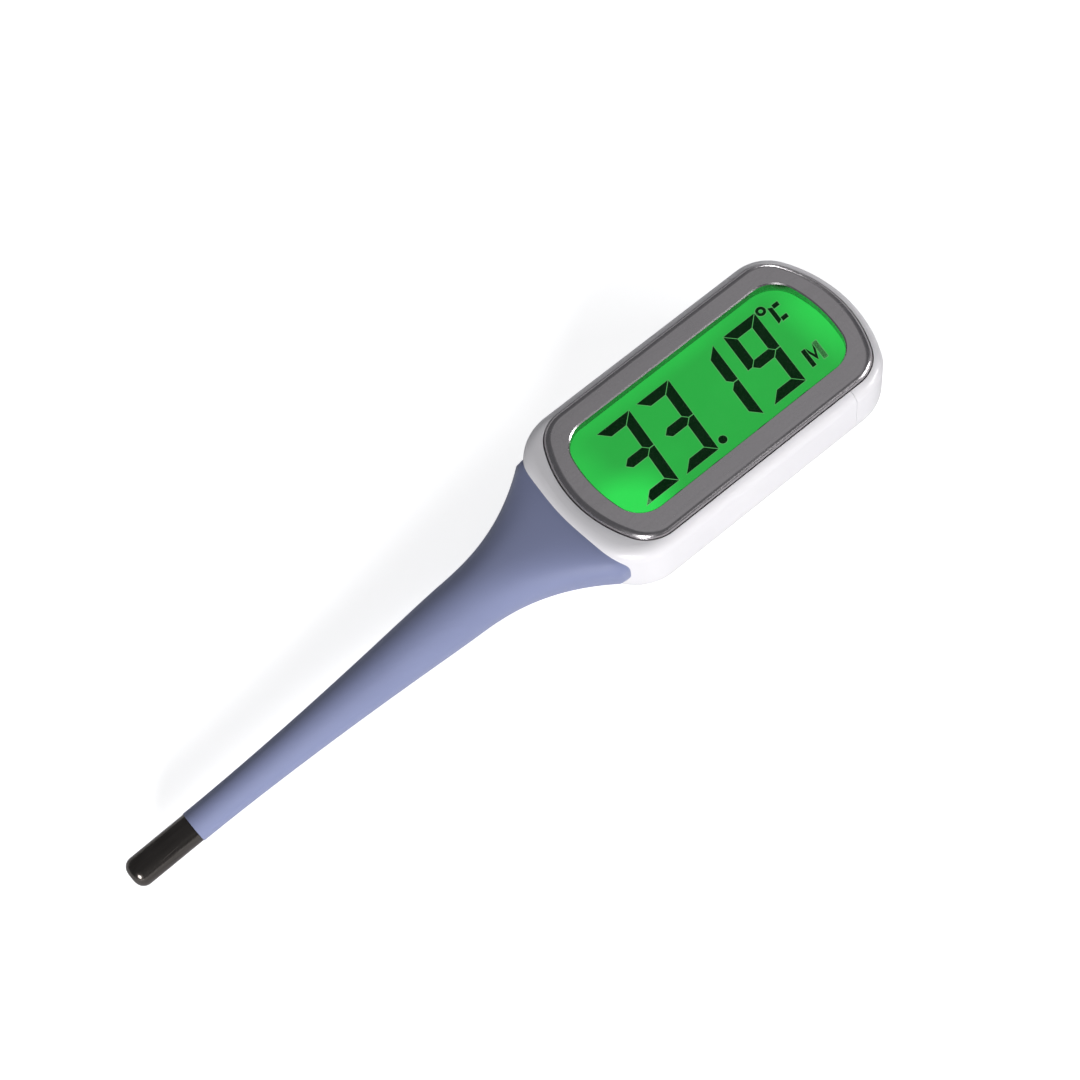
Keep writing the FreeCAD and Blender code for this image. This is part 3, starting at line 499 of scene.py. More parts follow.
# %% [markdown]
# ## Clear parts and the lit display
# A liquid-crystal display is a sandwich: window, polariser, glass, the dark bars, glass, polariser, and
# behind them a light guide fed by two small lamps. Real glass in Cycles would need rays to pass ten
# surfaces. A thin clear part is instead given a low Alpha, with more of it where hairlines are, and
# the rear glass carries the glow, because to the eye that is where the light comes from.

# %% Clear materials


def clear_material(name, tint, body, mark_amount, gloss):
    """Thin clear part: almost nothing but its gloss shows."""
    material, tree, shader = start_material(name, IOR=1.45)
    finish = group_in(
        tree, moulded_finish, Colour=opaque(tint), Second_Colour=opaque([v * 0.96 for v in tint]),
        Grain_Scale=700.0, Gloss_Low=gloss, Gloss_High=gloss + 0.03,
    )
    marks = group_in(tree, handling_marks, Mark_Scale=120.0, Width=0.012, Amount=mark_amount)
    alpha = Sum(tree, marks.outputs["Mask"]) + body
    tree.links.new(finish.outputs["Colour"], shader.inputs["Base Color"])
    tree.links.new(finish.outputs["Roughness"], shader.inputs["Roughness"])
    tree.links.new(alpha.socket, shader.inputs["Alpha"])
    return material


finishes["clear_window"] = clear_material("clear_window", (0.04, 0.07, 0.05), 0.015, 0.005, 0.05)
finishes["clear_film"] = clear_material("clear_film", (0.03, 0.06, 0.04), 0.008, 0.002, 0.20)
finishes["lcd_glass"] = clear_material("lcd_glass", (0.03, 0.06, 0.04), 0.008, 0.002, 0.08)
print("clear finishes made")

# %% Glow group
# The lamps sit at the neck end, so the guide is brightest beside them and again at the far rim, where
# light meets the end wall. The group turns Object coordinates into that pattern.
window_low, window_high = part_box("display_window")
glow_pattern, entry, leave = new_group(
    "glow_pattern",
    [("Dim", COLOUR, GREY), ("Bright", COLOUR, GREY), ("Contrast", FLOAT, 1.0)],
    [("Colour", COLOUR)],
)
place = glow_pattern.nodes.new("ShaderNodeTexCoord")
split = glow_pattern.nodes.new("ShaderNodeSeparateXYZ")
glow_pattern.links.new(place.outputs["Object"], split.inputs[0])
glass_x = Sum(glow_pattern, split.outputs["X"])
glass_y = Sum(glow_pattern, split.outputs["Y"])
window_half_x = (window_high.x - window_low.x) / 2
window_half_y = (window_high.y - window_low.y) / 2
window_x = (window_high.x + window_low.x) / 2


def pool(x, y, reach_x, reach_y):
    """A soft pool of light: 1 at its centre, 0 from its edge outwards."""
    across = (glass_x - x) / reach_x
    along = (glass_y - y) / reach_y
    squared = across * across + along * along
    inside = (1.0 - squared).most(0.0)
    return inside * inside


light = (
    pool(window_x - 0.82 * window_half_x, -0.54 * window_half_y, 9.0 * MM, 8.0 * MM) * 1.20
    + pool(window_x - 0.93 * window_half_x, 0.20 * window_half_y, 6.0 * MM, 11.0 * MM) * 0.40
    + pool(window_x + 0.98 * window_half_x, 0.0, 7.0 * MM, 14.0 * MM) * 0.75
    + pool(window_x, 1.02 * window_half_y, 34.0 * MM, 4.5 * MM) * 0.40
)
cloudy = Sum(glow_pattern, object_noise(glow_pattern, 110.0, 2.0))
light = (light + (cloudy - 0.5) * 0.35) * Sum(glow_pattern, entry.outputs["Contrast"])
glow_pattern.links.new(
    colour_between(
        glow_pattern, light.most(0.0).least(1.0).socket, entry.outputs["Dim"], entry.outputs["Bright"]
    ),
    leave.inputs["Colour"],
)
print("group", glow_pattern.name, "has", len(glow_pattern.nodes), "nodes")

# %% Lit materials


def lit_material(name, dim, bright, strength, body, contrast=1.0):
    """A film, glass or guide that glows green."""
    material, tree, shader = start_material(
        name, Base_Color=opaque(body), Roughness=0.5, Emission_Strength=strength, Specular_IOR_Level=0.2
    )
    pattern = group_in(tree, glow_pattern, Dim=opaque(dim), Bright=opaque(bright), Contrast=contrast)
    frost = group_in(
        tree, moulded_finish, Colour=opaque(body), Second_Colour=opaque([v * 0.9 for v in body]),
        Grain_Scale=2500.0, Gloss_Low=0.4, Gloss_High=0.55,
    )
    tree.links.new(pattern.outputs["Colour"], shader.inputs["Emission Color"])
    tree.links.new(frost.outputs["Colour"], shader.inputs["Base Color"])
    tree.links.new(frost.outputs["Roughness"], shader.inputs["Roughness"])
    return material


DIM_GREEN = (0.028, 0.430, 0.062)
BRIGHT_GREEN = (0.036, 0.760, 0.098)
finishes["lit_glass"] = lit_material("lit_glass", DIM_GREEN, BRIGHT_GREEN, 1.0, (0.03, 0.10, 0.04))
finishes["lit_film"] = lit_material("lit_film", DIM_GREEN, BRIGHT_GREEN, 1.2, (0.60, 0.80, 0.62))
finishes["light_guide"] = lit_material("light_guide", DIM_GREEN, BRIGHT_GREEN, 0.8, (0.50, 0.75, 0.55))
# The pale green glow round the bars is a painted highlight.
finishes["painted_bar_halo"] = lit_material(
    "painted_bar_halo", (0.10, 0.42, 0.12), (0.16, 0.62, 0.20), 1.0, (0.03, 0.10, 0.04)
)
# The dark bars carry a faint painted green glow, standing in for backlight seen through them.
finishes["lcd_ink"] = moulded_material(
    "lcd_ink", (0.0035, 0.020, 0.0055), (0.0045, 0.028, 0.0070), (0.35, 0.45), 1800, 0.5 * MICRON,
    Emission_Color=(0.0030, 0.026, 0.006, 1.0), Emission_Strength=0.6, Specular_IOR_Level=0.15,
)
print("lit finishes made")

# %% [markdown]
# ## Dressing the frame
# Every part that the frame brings keeps its mesh and gets its finish through its material slots.

# %% Finish for each part of the frame
dressing = {
    "white_shell": ["front_housing", "rear_housing", "battery_cover"],
    "soft_blue": ["power_button"],
    "bezel_metal": ["bezel"],
    "cap_steel": ["sensor_cap"],
    "clear_window": ["display_window"],
    "clear_film": ["front_polariser", "rear_polariser"],
    "lcd_glass": ["lcd_front_glass"],
    "lit_glass": ["lcd_rear_glass"],
    "lcd_ink": ["lcd_segments"],
    "lit_film": ["light_diffuser"],
    "light_guide": ["light_guide"],
    "white_film": ["light_reflector"],
    "led_body": ["backlight_led_left", "backlight_led_right"],
    "inner_plastic": ["display_holder", "battery_tray", "neck_core", "buzzer_ring", "switch_plunger"],
    "seal_rubber": ["housing_gasket"],
    "zebra_rubber": ["zebra_connector"],
    "board_green": ["circuit_board"],
    "black_resin": ["controller_chip", "switch_body"],
    "ceramic_parts": ["buzzer_ceramic", "board_parts", "sensor_bead"],
    "screw_steel": ["case_screw_left", "case_screw_right", "crystal"],
    "brass": ["buzzer_plate"],
    "cell_steel": ["button_cell"],
    "contact_metal": ["negative_contact", "positive_contact"],
    "lead_insulation": ["neck_leads", "stem_leads_1", "stem_leads_2", "stem_leads_3", "stem_leads_4"],
    "potting_resin": ["cap_filling"],
}
dressed = set()
for finish, names in dressing.items():
    for name in names:
        slots = nodes[name].data.materials
        slots.clear()
        slots.append(finishes[finish])
        dressed.add(name)
print("dressed", len(dressed), "parts; still to be replaced:", sorted(set(nodes) - dressed))

# %% [markdown]
# ## The soft skin of the neck and stem
# On the real object one moulding of soft rubber runs from the head to the metal cap. Its shape follows
# a rule: near the head it is a flattened, squarish oval that fits the housing's curved end, it narrows
# quickly, becomes round, and tapers slowly to the cap. A form that follows a rule suits Geometry Nodes:
# a flat grid goes in, and one Set Position node sends each point to its place on the skin.
# The stem bends, so the skin is made in four lengths that meet halfway between the bending joints.

# %% Sizes of the skin
head_end_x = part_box("front_housing")[0].x
DROOP = math.radians(3.0)
NECK_LENGTH = 17.8 * MM
ROOT_HEIGHT = 8.5 * MM
NECK_HEIGHT = 8.65 * MM
ROOT_RADIUS = 4.7 * MM
TIP_RADIUS = 2.35 * MM
NECK_HALF_WIDTH = 10.4 * MM
NECK_HALF_HEIGHT = 4.15 * MM
SOFT_LENGTH = 47.279 * MM
TAPER = 1.75
FLARE = 2.2
MOST_OPEN = 1.10
HEIGHT_FLARE = 1.5
SQUARENESS = 1.2
HEAD_END_RADIUS = 30.0 * MM
HEAD_HALF_WIDTH = 14.1 * MM
CORNER_RADIUS = 8.5 * MM
SHOULDER_HEIGHT = 11.2 * MM
SHOULDER_RADIUS = 2.0 * MM
HEEL_RADIUS = 5.8 * MM
ROOT_EASE = 5.0 * MM
BORE_RADIUS = 1.02 * MM
CORE_BORE_RADIUS = 3.5 * MM
CORE_REACH = 17.4 * MM
CAP_SEAT_RADIUS = 1.78 * MM
CAP_SEAT_LENGTH = 2.45 * MM
CORE_STEP = 0.3 * MM
SEAT_STEP = 0.1 * MM
LEAN_REACH = 9.0 * MM
LEAN_ROUNDS = 3
SINK = 0.15 * MM
bend_x = [joints[f"stem_bend_{n}"]["pos_m"][0] for n in range(1, 5)]
bend_distance = [NECK_LENGTH + (head_end_x - NECK_LENGTH - x) / math.cos(DROOP) for x in bend_x]
print("bends at", [round(d / MM, 2) for d in bend_distance], "mm from the head")

# %% How every geometry tree starts and ends


def piece_tree(name, inputs):
    """A tree with the given named inputs and a finish, ready for its nodes."""
    tree = bpy.data.node_groups.new(name, "GeometryNodeTree")
    socket_in(tree, "Geometry", "NodeSocketGeometry")
    for label, kind, default in inputs:
        socket_in(tree, label, kind, default)
    socket_in(tree, "Finish", "NodeSocketMaterial")
    tree.interface.new_socket(name="Geometry", in_out="OUTPUT", socket_type="NodeSocketGeometry")
    return tree, tree.nodes.new("NodeGroupInput"), tree.nodes.new("NodeGroupOutput")


def finish_tree(tree, geometry, finish, target):
    """Every tree ends the same way: real points instead of instances, then the finish."""
    real = tree.nodes.new("GeometryNodeRealizeInstances")
    painted = tree.nodes.new("GeometryNodeSetMaterial")
    tree.links.new(geometry, real.inputs[0])
    tree.links.new(real.outputs[0], painted.inputs["Geometry"])
    tree.links.new(finish, painted.inputs["Material"])
    tree.links.new(painted.outputs[0], target)


print("start and end of the geometry trees ready")

# %% [markdown]
# ## The skin as a rule
# The section's half width and half height are functions of the distance from the head. The head's end
# is round in plan and along its edges, and the skin's first rings lean back by just that much, so
# that they meet the housing all round without a gap.

# %% The skin's tree


def head_setback(y, z):
    """How far the head's curved end, its corners and its rounded edges fall back from its foremost point."""
    arc = HEAD_END_RADIUS - (HEAD_END_RADIUS ** 2 - y * y).math("SQRT")
    corner_y = HEAD_HALF_WIDTH - CORNER_RADIUS
    corner_x = HEAD_END_RADIUS - math.sqrt((HEAD_END_RADIUS - CORNER_RADIUS) ** 2 - corner_y ** 2)
    corner_start = HEAD_END_RADIUS * corner_y / (HEAD_END_RADIUS - CORNER_RADIUS)
    sideways = y.math("ABSOLUTE")
    beyond = (sideways - corner_y).most(0.0)
    corner = corner_x - (CORNER_RADIUS ** 2 - beyond * beyond).most(0.0).math("SQRT")
    plan = arc + (corner - arc) * sideways.math("GREATER_THAN", corner_start)
    above = (z - SHOULDER_HEIGHT).most(0.0)
    below = (HEEL_RADIUS - z).most(0.0)
    shoulder = SHOULDER_RADIUS - (SHOULDER_RADIUS ** 2 - above * above).most(0.0).math("SQRT")
    heel = HEEL_RADIUS - (HEEL_RADIUS ** 2 - below * below).most(0.0).math("SQRT")
    return plan + shoulder + heel


def past_root(distance):
    """Distance past the stem's root. It starts softly, so that the outline has no corner there."""
    past = distance - NECK_LENGTH
    return (past + (past * past + ROOT_EASE ** 2).math("SQRT")) * 0.5


def section_point(distance, cosine, sine):
    """Sideways and upward place on the outer skin, at a distance from the head and round the section."""
    open_share = (1.0 - distance / NECK_LENGTH).most(0.0).least(MOST_OPEN)
    soft_share = (1.0 - past_root(distance) / SOFT_LENGTH).most(0.0)
    radius = soft_share ** TAPER * (ROOT_RADIUS - TIP_RADIUS) + TIP_RADIUS
    half_width = open_share ** FLARE * (NECK_HALF_WIDTH - ROOT_RADIUS) + radius
    half_height = open_share.least(1.0) ** HEIGHT_FLARE * (NECK_HALF_HEIGHT - ROOT_RADIUS) + radius
    roundness = 2.0 / (open_share * open_share * SQUARENESS + 2.0)
    y = half_width * cosine.math("SIGN") * cosine.math("ABSOLUTE") ** roundness
    rise = half_height * sine.math("SIGN") * sine.math("ABSOLUTE") ** roundness
    return y, rise


def skin_tree():
    tree, entry, leave = piece_tree("soft_skin", [
        ("First Distance", FLOAT, 0.0), ("Last Distance", FLOAT, 0.02), ("Rings", INT, 40),
        ("Around", INT, 96), ("Bore Radius", FLOAT, 0.001),
    ])

    def given(label):
        return Sum(tree, entry.outputs[label])

    rings, around = given("Rings"), given("Around")
    grid = tree.nodes.new("GeometryNodeMeshGrid")
    grid.inputs["Size X"].default_value = 1.0
    grid.inputs["Size Y"].default_value = 1.0
    tree.links.new((rings * 2.0 + 1.0).socket, grid.inputs["Vertices X"])
    tree.links.new((around + 1.0).socket, grid.inputs["Vertices Y"])
    place = tree.nodes.new("GeometryNodeInputPosition")
    split = tree.nodes.new("ShaderNodeSeparateXYZ")
    tree.links.new(place.outputs[0], split.inputs[0])

    # The grid's columns run out along the outer wall, back along the bore, and close on the first.
    column = ((Sum(tree, split.outputs["X"]) + 0.5) * rings * 2.0).math("ROUND").math("MODULO", rings * 2.0)
    outer = column.math("LESS_THAN", rings - 0.5)
    ring = outer * column + (1.0 - outer) * (rings * 2.0 - 1.0 - column)
    share = ring / (rings - 1.0)
    first, last = given("First Distance"), given("Last Distance")
    distance = first + (last - first) * share
    angle = (Sum(tree, split.outputs["Y"]) + 0.5) * math.tau
    cosine, sine = angle.math("COSINE"), angle.math("SINE")

    # Near the head the rings lean into its curved end. A few rounds settle the place on the section.
    fade = (1.0 - distance / LEAN_REACH).most(0.0).least(1.0)
    fade = fade * fade
    reach = distance
    for _ in range(LEAN_ROUNDS):
        y, rise = section_point(reach, cosine, sine)
        reach = distance - head_setback(y, rise + NECK_HEIGHT) * fade
    y, rise = section_point(reach, cosine, sine)

    # The bore: wide around the stiff core of the neck and around the cap's collar, narrow between.
    core = ((CORE_REACH - distance) / CORE_STEP).most(0.0).least(1.0)
    cap_start = NECK_LENGTH + SOFT_LENGTH - CAP_SEAT_LENGTH
    seat = ((distance - cap_start) / SEAT_STEP).most(0.0).least(1.0)
    bore = given("Bore Radius") + core * (CORE_BORE_RADIUS - BORE_RADIUS)
    bore = bore + seat * (CAP_SEAT_RADIUS - BORE_RADIUS)
    y = outer * y + (1.0 - outer) * bore * cosine
    rise = outer * rise + (1.0 - outer) * bore * sine

    neck_part = reach.least(NECK_LENGTH)
    stem_part = (reach - NECK_LENGTH).most(0.0)
    tilt = (neck_part / NECK_LENGTH).most(0.0)
    tilt = tilt * tilt * DROOP
    axis_rise = (1.0 - neck_part / NECK_LENGTH).least(1.0) * (NECK_HEIGHT - ROOT_HEIGHT) + ROOT_HEIGHT
    x = head_end_x - neck_part - stem_part * math.cos(DROOP) - rise * tilt.math("SINE")
    z = axis_rise - past_root(reach) * math.sin(DROOP) + rise * tilt.math("COSINE")
    joined = tree.nodes.new("ShaderNodeCombineXYZ")
    for label, value in (("X", x), ("Y", y), ("Z", z)):
        tree.links.new(value.socket, joined.inputs[label])

    moved = tree.nodes.new("GeometryNodeSetPosition")
    tree.links.new(grid.outputs["Mesh"], moved.inputs["Geometry"])
    tree.links.new(joined.outputs[0], moved.inputs["Position"])
    merged = tree.nodes.new("GeometryNodeMergeByDistance")
    merged.inputs["Distance"].default_value = MICRON
    tree.links.new(moved.outputs[0], merged.inputs["Geometry"])
    finish_tree(tree, merged.outputs[0], entry.outputs["Finish"], leave.inputs["Geometry"])
    return tree


soft_skin = skin_tree()
print("tree", soft_skin.name, "has", len(soft_skin.nodes), "nodes")

# %% Growing a piece from a tree


def grow(name, tree, **inputs):
    """Runs a geometry tree once and keeps its result as a plain mesh at the origin."""
    piece = bpy.data.objects.new(name, bpy.data.meshes.new(name + "_seed"))
    bpy.context.scene.collection.objects.link(piece)
    modifier = piece.modifiers.new("grow", "NODES")
    modifier.node_group = tree
    named = {item.name: item.identifier for item in tree.interface.items_tree if item.in_out == "INPUT"}
    for label, value in inputs.items():
        modifier[named[label.replace("_", " ")]] = value
    bpy.context.view_layer.update()
    evaluated = piece.evaluated_get(bpy.context.evaluated_depsgraph_get())
    mesh = bpy.data.meshes.new_from_object(evaluated)
    piece.modifiers.clear()
    piece.data = mesh
    mesh.name = name
    return piece


def face_outwards(piece, sharp_degrees=40.0):
    """Merges doubles, turns every face outwards and keeps only real corners sharp."""
    work = bmesh.new()
    work.from_mesh(piece.data)
    bmesh.ops.remove_doubles(work, verts=work.verts, dist=MICRON)
    bmesh.ops.recalc_face_normals(work, faces=work.faces)
    for face in work.faces:
        face.smooth = True
    work.to_mesh(piece.data)
    work.free()
    piece.data.set_sharp_from_angle(angle=math.radians(sharp_degrees))


def signed_volume(piece):
    work = bmesh.new()
    work.from_mesh(piece.data)
    volume = work.calc_volume(signed=True)
    work.free()
    return volume


print("helpers for grown pieces ready")

# %% The four lengths of skin
halfway = [(a + b) / 2 for a, b in zip(bend_distance, bend_distance[1:])]
cuts = [-SINK, *halfway, NECK_LENGTH + SOFT_LENGTH]
RING_PITCH = 0.45 * MM
BLEND_GAP = 0.4 * MM
AROUND = 96


def on_axis(distance):
    stem_part = max(0.0, distance - NECK_LENGTH)
    neck_part = min(distance, NECK_LENGTH)
    x = head_end_x - neck_part - stem_part * math.cos(DROOP)
    return Vector((x, 0.0, ROOT_HEIGHT - stem_part * math.sin(DROOP)))


replaced = [("neck_sleeve", "stem_segment_1"), ("stem_segment_2",), ("stem_segment_3",), ("stem_segment_4",)]
for length in range(4):
    start, end = cuts[length], cuts[length + 1]
    skin = grow(
        f"soft_skin_{length}", soft_skin, First_Distance=start, Last_Distance=end,
        Rings=round((end - start) / RING_PITCH), Around=AROUND, Bore_Radius=BORE_RADIUS,
        Finish=finishes["soft_blue"],
    )
    face_outwards(skin)
    print(skin.name, len(skin.data.polygons), "faces, volume", round(signed_volume(skin) / MM ** 3, 1), "mm3")
    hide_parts(*replaced[length])
    bend = bend_distance[length]
    spread_out = min(bend - start, end - bend, bend_distance[1] - halfway[0]) - BLEND_GAP
    on_axis(bend - spread_out)
    on_axis(bend + spread_out)
    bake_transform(skin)

# %% [markdown]
# ## A painted pale glow round the display's bars
# Round every dark bar a thin pale line glows: a painted highlight, standing in for the light line seen at
# each bar's edge.
# The bars are flat shapes, so the line is made from them: a copy of each bar grows sideways by a tenth
# of a millimetre, lies just under it and glows pale green.

# %% Pale bar edges
EDGE_GROWTH = 0.11 * MM
EDGE_THICKNESS = 0.012 * MM
EDGE_CLEARANCE = 0.002 * MM
SAME_DIRECTION = 0.05
MITRE_LIMIT = 1.6


# A copy of the bars that glows pale green: a painted highlight round each bar.
def bar_edges():
    source = nodes["lcd_segments"]
    glass_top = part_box("lcd_rear_glass")[1].z
    work = bmesh.new()
    work.from_mesh(source.data)
    bmesh.ops.remove_doubles(work, verts=work.verts, dist=MICRON)
    middle = sum(vert.co.z for vert in work.verts) / len(work.verts)
    moves = {}
    for vert in work.verts:
        sides = []
        for face in vert.link_faces:
            normal = face.normal.copy()
            upright = abs(normal.z) < 0.5
            if upright and all((normal - other).length > SAME_DIRECTION for other in sides):
                sides.append(normal)
        push = sum(sides, Vector())
        if len(sides) > 1:
            push.normalize()
            push *= min(MITRE_LIMIT, 1.0 / max(0.5, push.dot(sides[0])))
        moves[vert] = push * EDGE_GROWTH
    for vert, push in moves.items():
        vert.co.x += push.x
        vert.co.y += push.y
        vert.co.z = glass_top + (EDGE_THICKNESS if vert.co.z > middle else EDGE_CLEARANCE)
    bmesh.ops.recalc_face_normals(work, faces=work.faces)
    mesh = bpy.data.meshes.new("bar_edges")
    work.to_mesh(mesh)
    work.free()
    mesh.materials.append(finishes["painted_bar_halo"])
    piece = bpy.data.objects.new("bar_edges", mesh)
    bpy.context.scene.collection.objects.link(piece)
    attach(piece, "root")
    return piece


edges = bar_edges()
print(edges.name, len(edges.data.polygons), "faces")

# %% [markdown]
# ## Small parts that repeat
# The light guide has rows of printed dots that let light out, larger where the lamps are far away. The
# rubber connector between board and glass is banded with conducting stripes. Each small part on the
# board sits between two beads of solder, and the case screws have a thread. Each of these is one
# simple shape many times over, so a Geometry Nodes tree makes it: points, a shape on each point,
# then Realize Instances, since an exported model keeps real faces and drops instances.

# %% Shapes on points


def shape_on_points(tree, points, shape, scale=None):
    placed = tree.nodes.new("GeometryNodeInstanceOnPoints")
    tree.links.new(points, placed.inputs["Points"])
    tree.links.new(shape, placed.inputs["Instance"])
    if scale is not None:
        tree.links.new(scale, placed.inputs["Scale"])
    return placed.outputs[0]


def moved_to(tree, geometry, place):
    shift = tree.nodes.new("GeometryNodeTransform")
    tree.links.new(geometry, shift.inputs["Geometry"])
    tree.links.new(place, shift.inputs["Translation"])
    return shift.outputs[0]


print("helpers for repeating parts ready")

# %% Grid of shapes
# One tree serves the dots and the solder beads: a grid of round beads whose size may grow along X.
BEAD_SIDES = 10
BEAD_TOP_SHARE = 0.55
bead_grid, entry, leave = piece_tree("bead_grid", [
    ("Size X", FLOAT, 0.03), ("Size Y", FLOAT, 0.01), ("Count X", INT, 5), ("Count Y", INT, 2),
    ("Place", VECTOR, (0.0, 0.0, 0.0)), ("Radius", FLOAT, 0.0002), ("Height", FLOAT, 0.0001),
    ("Growth", FLOAT, 0.0),
])
grid = bead_grid.nodes.new("GeometryNodeMeshGrid")
for label, target in (
    ("Size X", "Size X"), ("Size Y", "Size Y"), ("Count X", "Vertices X"), ("Count Y", "Vertices Y"),
):
    bead_grid.links.new(entry.outputs[label], grid.inputs[target])
bead = bead_grid.nodes.new("GeometryNodeMeshCone")
bead.inputs["Vertices"].default_value = BEAD_SIDES
bead_grid.links.new(entry.outputs["Radius"], bead.inputs["Radius Bottom"])
top_radius = Sum(bead_grid, entry.outputs["Radius"]) * BEAD_TOP_SHARE
bead_grid.links.new(top_radius.socket, bead.inputs["Radius Top"])
bead_grid.links.new(entry.outputs["Height"], bead.inputs["Depth"])
where = bead_grid.nodes.new("GeometryNodeInputPosition")
parts = bead_grid.nodes.new("ShaderNodeSeparateXYZ")
bead_grid.links.new(where.outputs[0], parts.inputs[0])
along = Sum(bead_grid, parts.outputs["X"]) / Sum(bead_grid, entry.outputs["Size X"])
size = along * Sum(bead_grid, entry.outputs["Growth"]) + 1.0
widened = bead_grid.nodes.new("ShaderNodeCombineXYZ")
bead_grid.links.new(size.socket, widened.inputs["X"])
bead_grid.links.new(size.socket, widened.inputs["Y"])
widened.inputs["Z"].default_value = 1.0
beads = shape_on_points(bead_grid, grid.outputs["Mesh"], bead.outputs["Mesh"], widened.outputs[0])
finish_tree(
    bead_grid, moved_to(bead_grid, beads, entry.outputs["Place"]),
    entry.outputs["Finish"], leave.inputs["Geometry"],
)
print("tree", bead_grid.name, "has", len(bead_grid.nodes), "nodes")

# %% Row of bands
band_row, entry, leave = piece_tree("band_row", [
    ("Count", INT, 40), ("Pitch", FLOAT, 0.0006), ("Band Size", VECTOR, (0.0003, 0.002, 0.004)),
    ("Start", VECTOR, (0.0, 0.0, 0.0)),
])
row = band_row.nodes.new("GeometryNodeMeshLine")
band_row.links.new(entry.outputs["Count"], row.inputs["Count"])
band_row.links.new(entry.outputs["Start"], row.inputs["Start Location"])
step = band_row.nodes.new("ShaderNodeCombineXYZ")
band_row.links.new(entry.outputs["Pitch"], step.inputs["X"])
band_row.links.new(step.outputs[0], row.inputs["Offset"])
band = band_row.nodes.new("GeometryNodeMeshCube")
band_row.links.new(entry.outputs["Band Size"], band.inputs["Size"])
finish_tree(
    band_row, shape_on_points(band_row, row.outputs["Mesh"], band.outputs["Mesh"]),
    entry.outputs["Finish"], leave.inputs["Geometry"],
)
print("tree", band_row.name, "has", len(band_row.nodes), "nodes")

# %% Screw thread
screw_thread, entry, leave = piece_tree("screw_thread", [
    ("Turns", FLOAT, 8.0), ("Core Radius", FLOAT, 0.00075), ("Length", FLOAT, 0.005),
    ("Ridge", FLOAT, 0.0001), ("Place", VECTOR, (0.0, 0.0, 0.0)),
])
spiral = screw_thread.nodes.new("GeometryNodeCurveSpiral")
spiral.inputs["Resolution"].default_value = 20
screw_thread.links.new(entry.outputs["Turns"], spiral.inputs["Rotations"])
screw_thread.links.new(entry.outputs["Core Radius"], spiral.inputs["Start Radius"])
screw_thread.links.new(entry.outputs["Core Radius"], spiral.inputs["End Radius"])
screw_thread.links.new(entry.outputs["Length"], spiral.inputs["Height"])
ridge = screw_thread.nodes.new("GeometryNodeCurvePrimitiveCircle")
ridge.inputs["Resolution"].default_value = 4
screw_thread.links.new(entry.outputs["Ridge"], ridge.inputs["Radius"])
swept = screw_thread.nodes.new("GeometryNodeCurveToMesh")
swept.inputs["Fill Caps"].default_value = True
screw_thread.links.new(spiral.outputs[0], swept.inputs["Curve"])
screw_thread.links.new(ridge.outputs[0], swept.inputs["Profile Curve"])
finish_tree(
    screw_thread, moved_to(screw_thread, swept.outputs[0], entry.outputs["Place"]),
    entry.outputs["Finish"], leave.inputs["Geometry"],
)
print("tree", screw_thread.name, "has", len(screw_thread.nodes), "nodes")

# %% [markdown]
# ## Placing the repeats
# Sizes and places come from the frame's own boxes, so each repeat sits on the part that it belongs to:
# dots under the guide, stripes across the connector, solder at both ends of each part.

# %% Dots, stripes, solder and threads


def place_piece(piece):
    face_outwards(piece, 30.0)
    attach(piece, "root")
    volume = round(signed_volume(piece) / MM ** 3, 3)
    print(piece.name, len(piece.data.polygons), "faces, volume", volume, "mm3")


def between(low, high):
    return (low + high) / 2


guide_low, guide_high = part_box("light_guide")
guide_middle = between(guide_low, guide_high)
reflector_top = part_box("light_reflector")[1].z
DOT_THICKNESS = 0.02 * MM
DOT_MARGIN = 3.4 * MM
dots = grow(
    "guide_dots", bead_grid,
    Size_X=guide_high.x - guide_low.x - 2 * DOT_MARGIN,
    Size_Y=guide_high.y - guide_low.y - 2 * DOT_MARGIN,
    Count_X=26, Count_Y=9, Radius=0.32 * MM, Height=DOT_THICKNESS, Growth=0.9,
    Place=(guide_middle.x, guide_middle.y, reflector_top + DOT_THICKNESS / 4),
    Finish=finishes["white_film"],
)
place_piece(dots)

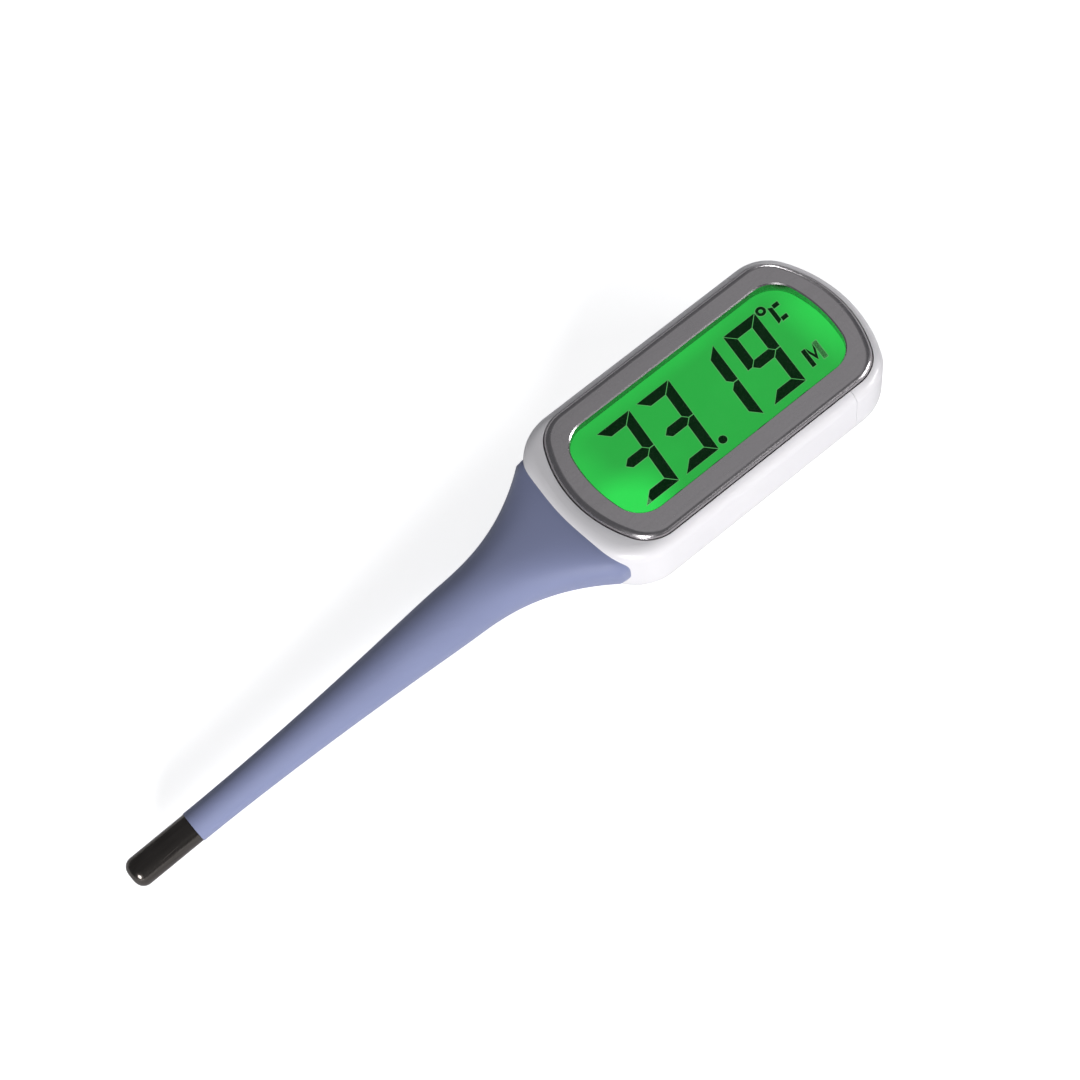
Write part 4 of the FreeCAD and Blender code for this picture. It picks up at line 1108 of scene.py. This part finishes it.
zebra_low, zebra_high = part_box("zebra_connector")
STRIPE_PITCH = 0.6 * MM
STRIPE_PROUD = 0.02 * MM
zebra_middle = between(zebra_low, zebra_high)
zebra_size = zebra_high - zebra_low
stripe_count = int(zebra_size.x / STRIPE_PITCH)
stripes = grow(
    "zebra_stripes", band_row, Count=stripe_count, Pitch=STRIPE_PITCH,
    Band_Size=(STRIPE_PITCH / 2, zebra_size.y + 2 * STRIPE_PROUD, zebra_size.z - STRIPE_PROUD),
    Start=(zebra_low.x + STRIPE_PITCH / 2, zebra_middle.y, zebra_middle.z),
    Finish=finishes["black_resin"],
)
place_piece(stripes)

parts_low, parts_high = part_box("board_parts")
parts_middle = between(parts_low, parts_high)
PART_LENGTH = 1.6 * MM
PART_WIDTH = 0.8 * MM
PART_COLUMNS = 5
SOLDER_HEIGHT = 0.28 * MM
for end, side in (("low", -1), ("high", 1)):
    solder = grow(
        f"solder_{end}", bead_grid,
        Size_X=parts_high.x - parts_low.x - PART_LENGTH,
        Size_Y=parts_high.y - parts_low.y - PART_WIDTH,
        Count_X=PART_COLUMNS, Count_Y=2, Radius=0.34 * MM, Height=SOLDER_HEIGHT,
        Place=(parts_middle.x + side * PART_LENGTH / 2, parts_middle.y, parts_low.z),
        Finish=finishes["contact_metal"],
    )
    place_piece(solder)

SCREW_HEAD_HEIGHT = 0.7 * MM
THREAD_PITCH = 0.6 * MM
THREAD_RIDGE = 0.10 * MM
THREAD_CORE = 0.74 * MM
for name in ("left", "right"):
    screw_low, screw_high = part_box(f"case_screw_{name}")
    screw_middle = between(screw_low, screw_high)
    shank = screw_high.z - screw_low.z - SCREW_HEAD_HEIGHT - 2 * THREAD_PITCH
    thread = grow(
        f"screw_thread_{name}", screw_thread, Turns=shank / THREAD_PITCH, Core_Radius=THREAD_CORE,
        Length=shank, Ridge=THREAD_RIDGE, Finish=finishes["screw_steel"],
        Place=(screw_middle.x, screw_middle.y, screw_low.z + SCREW_HEAD_HEIGHT + THREAD_PITCH),
    )
    place_piece(thread)
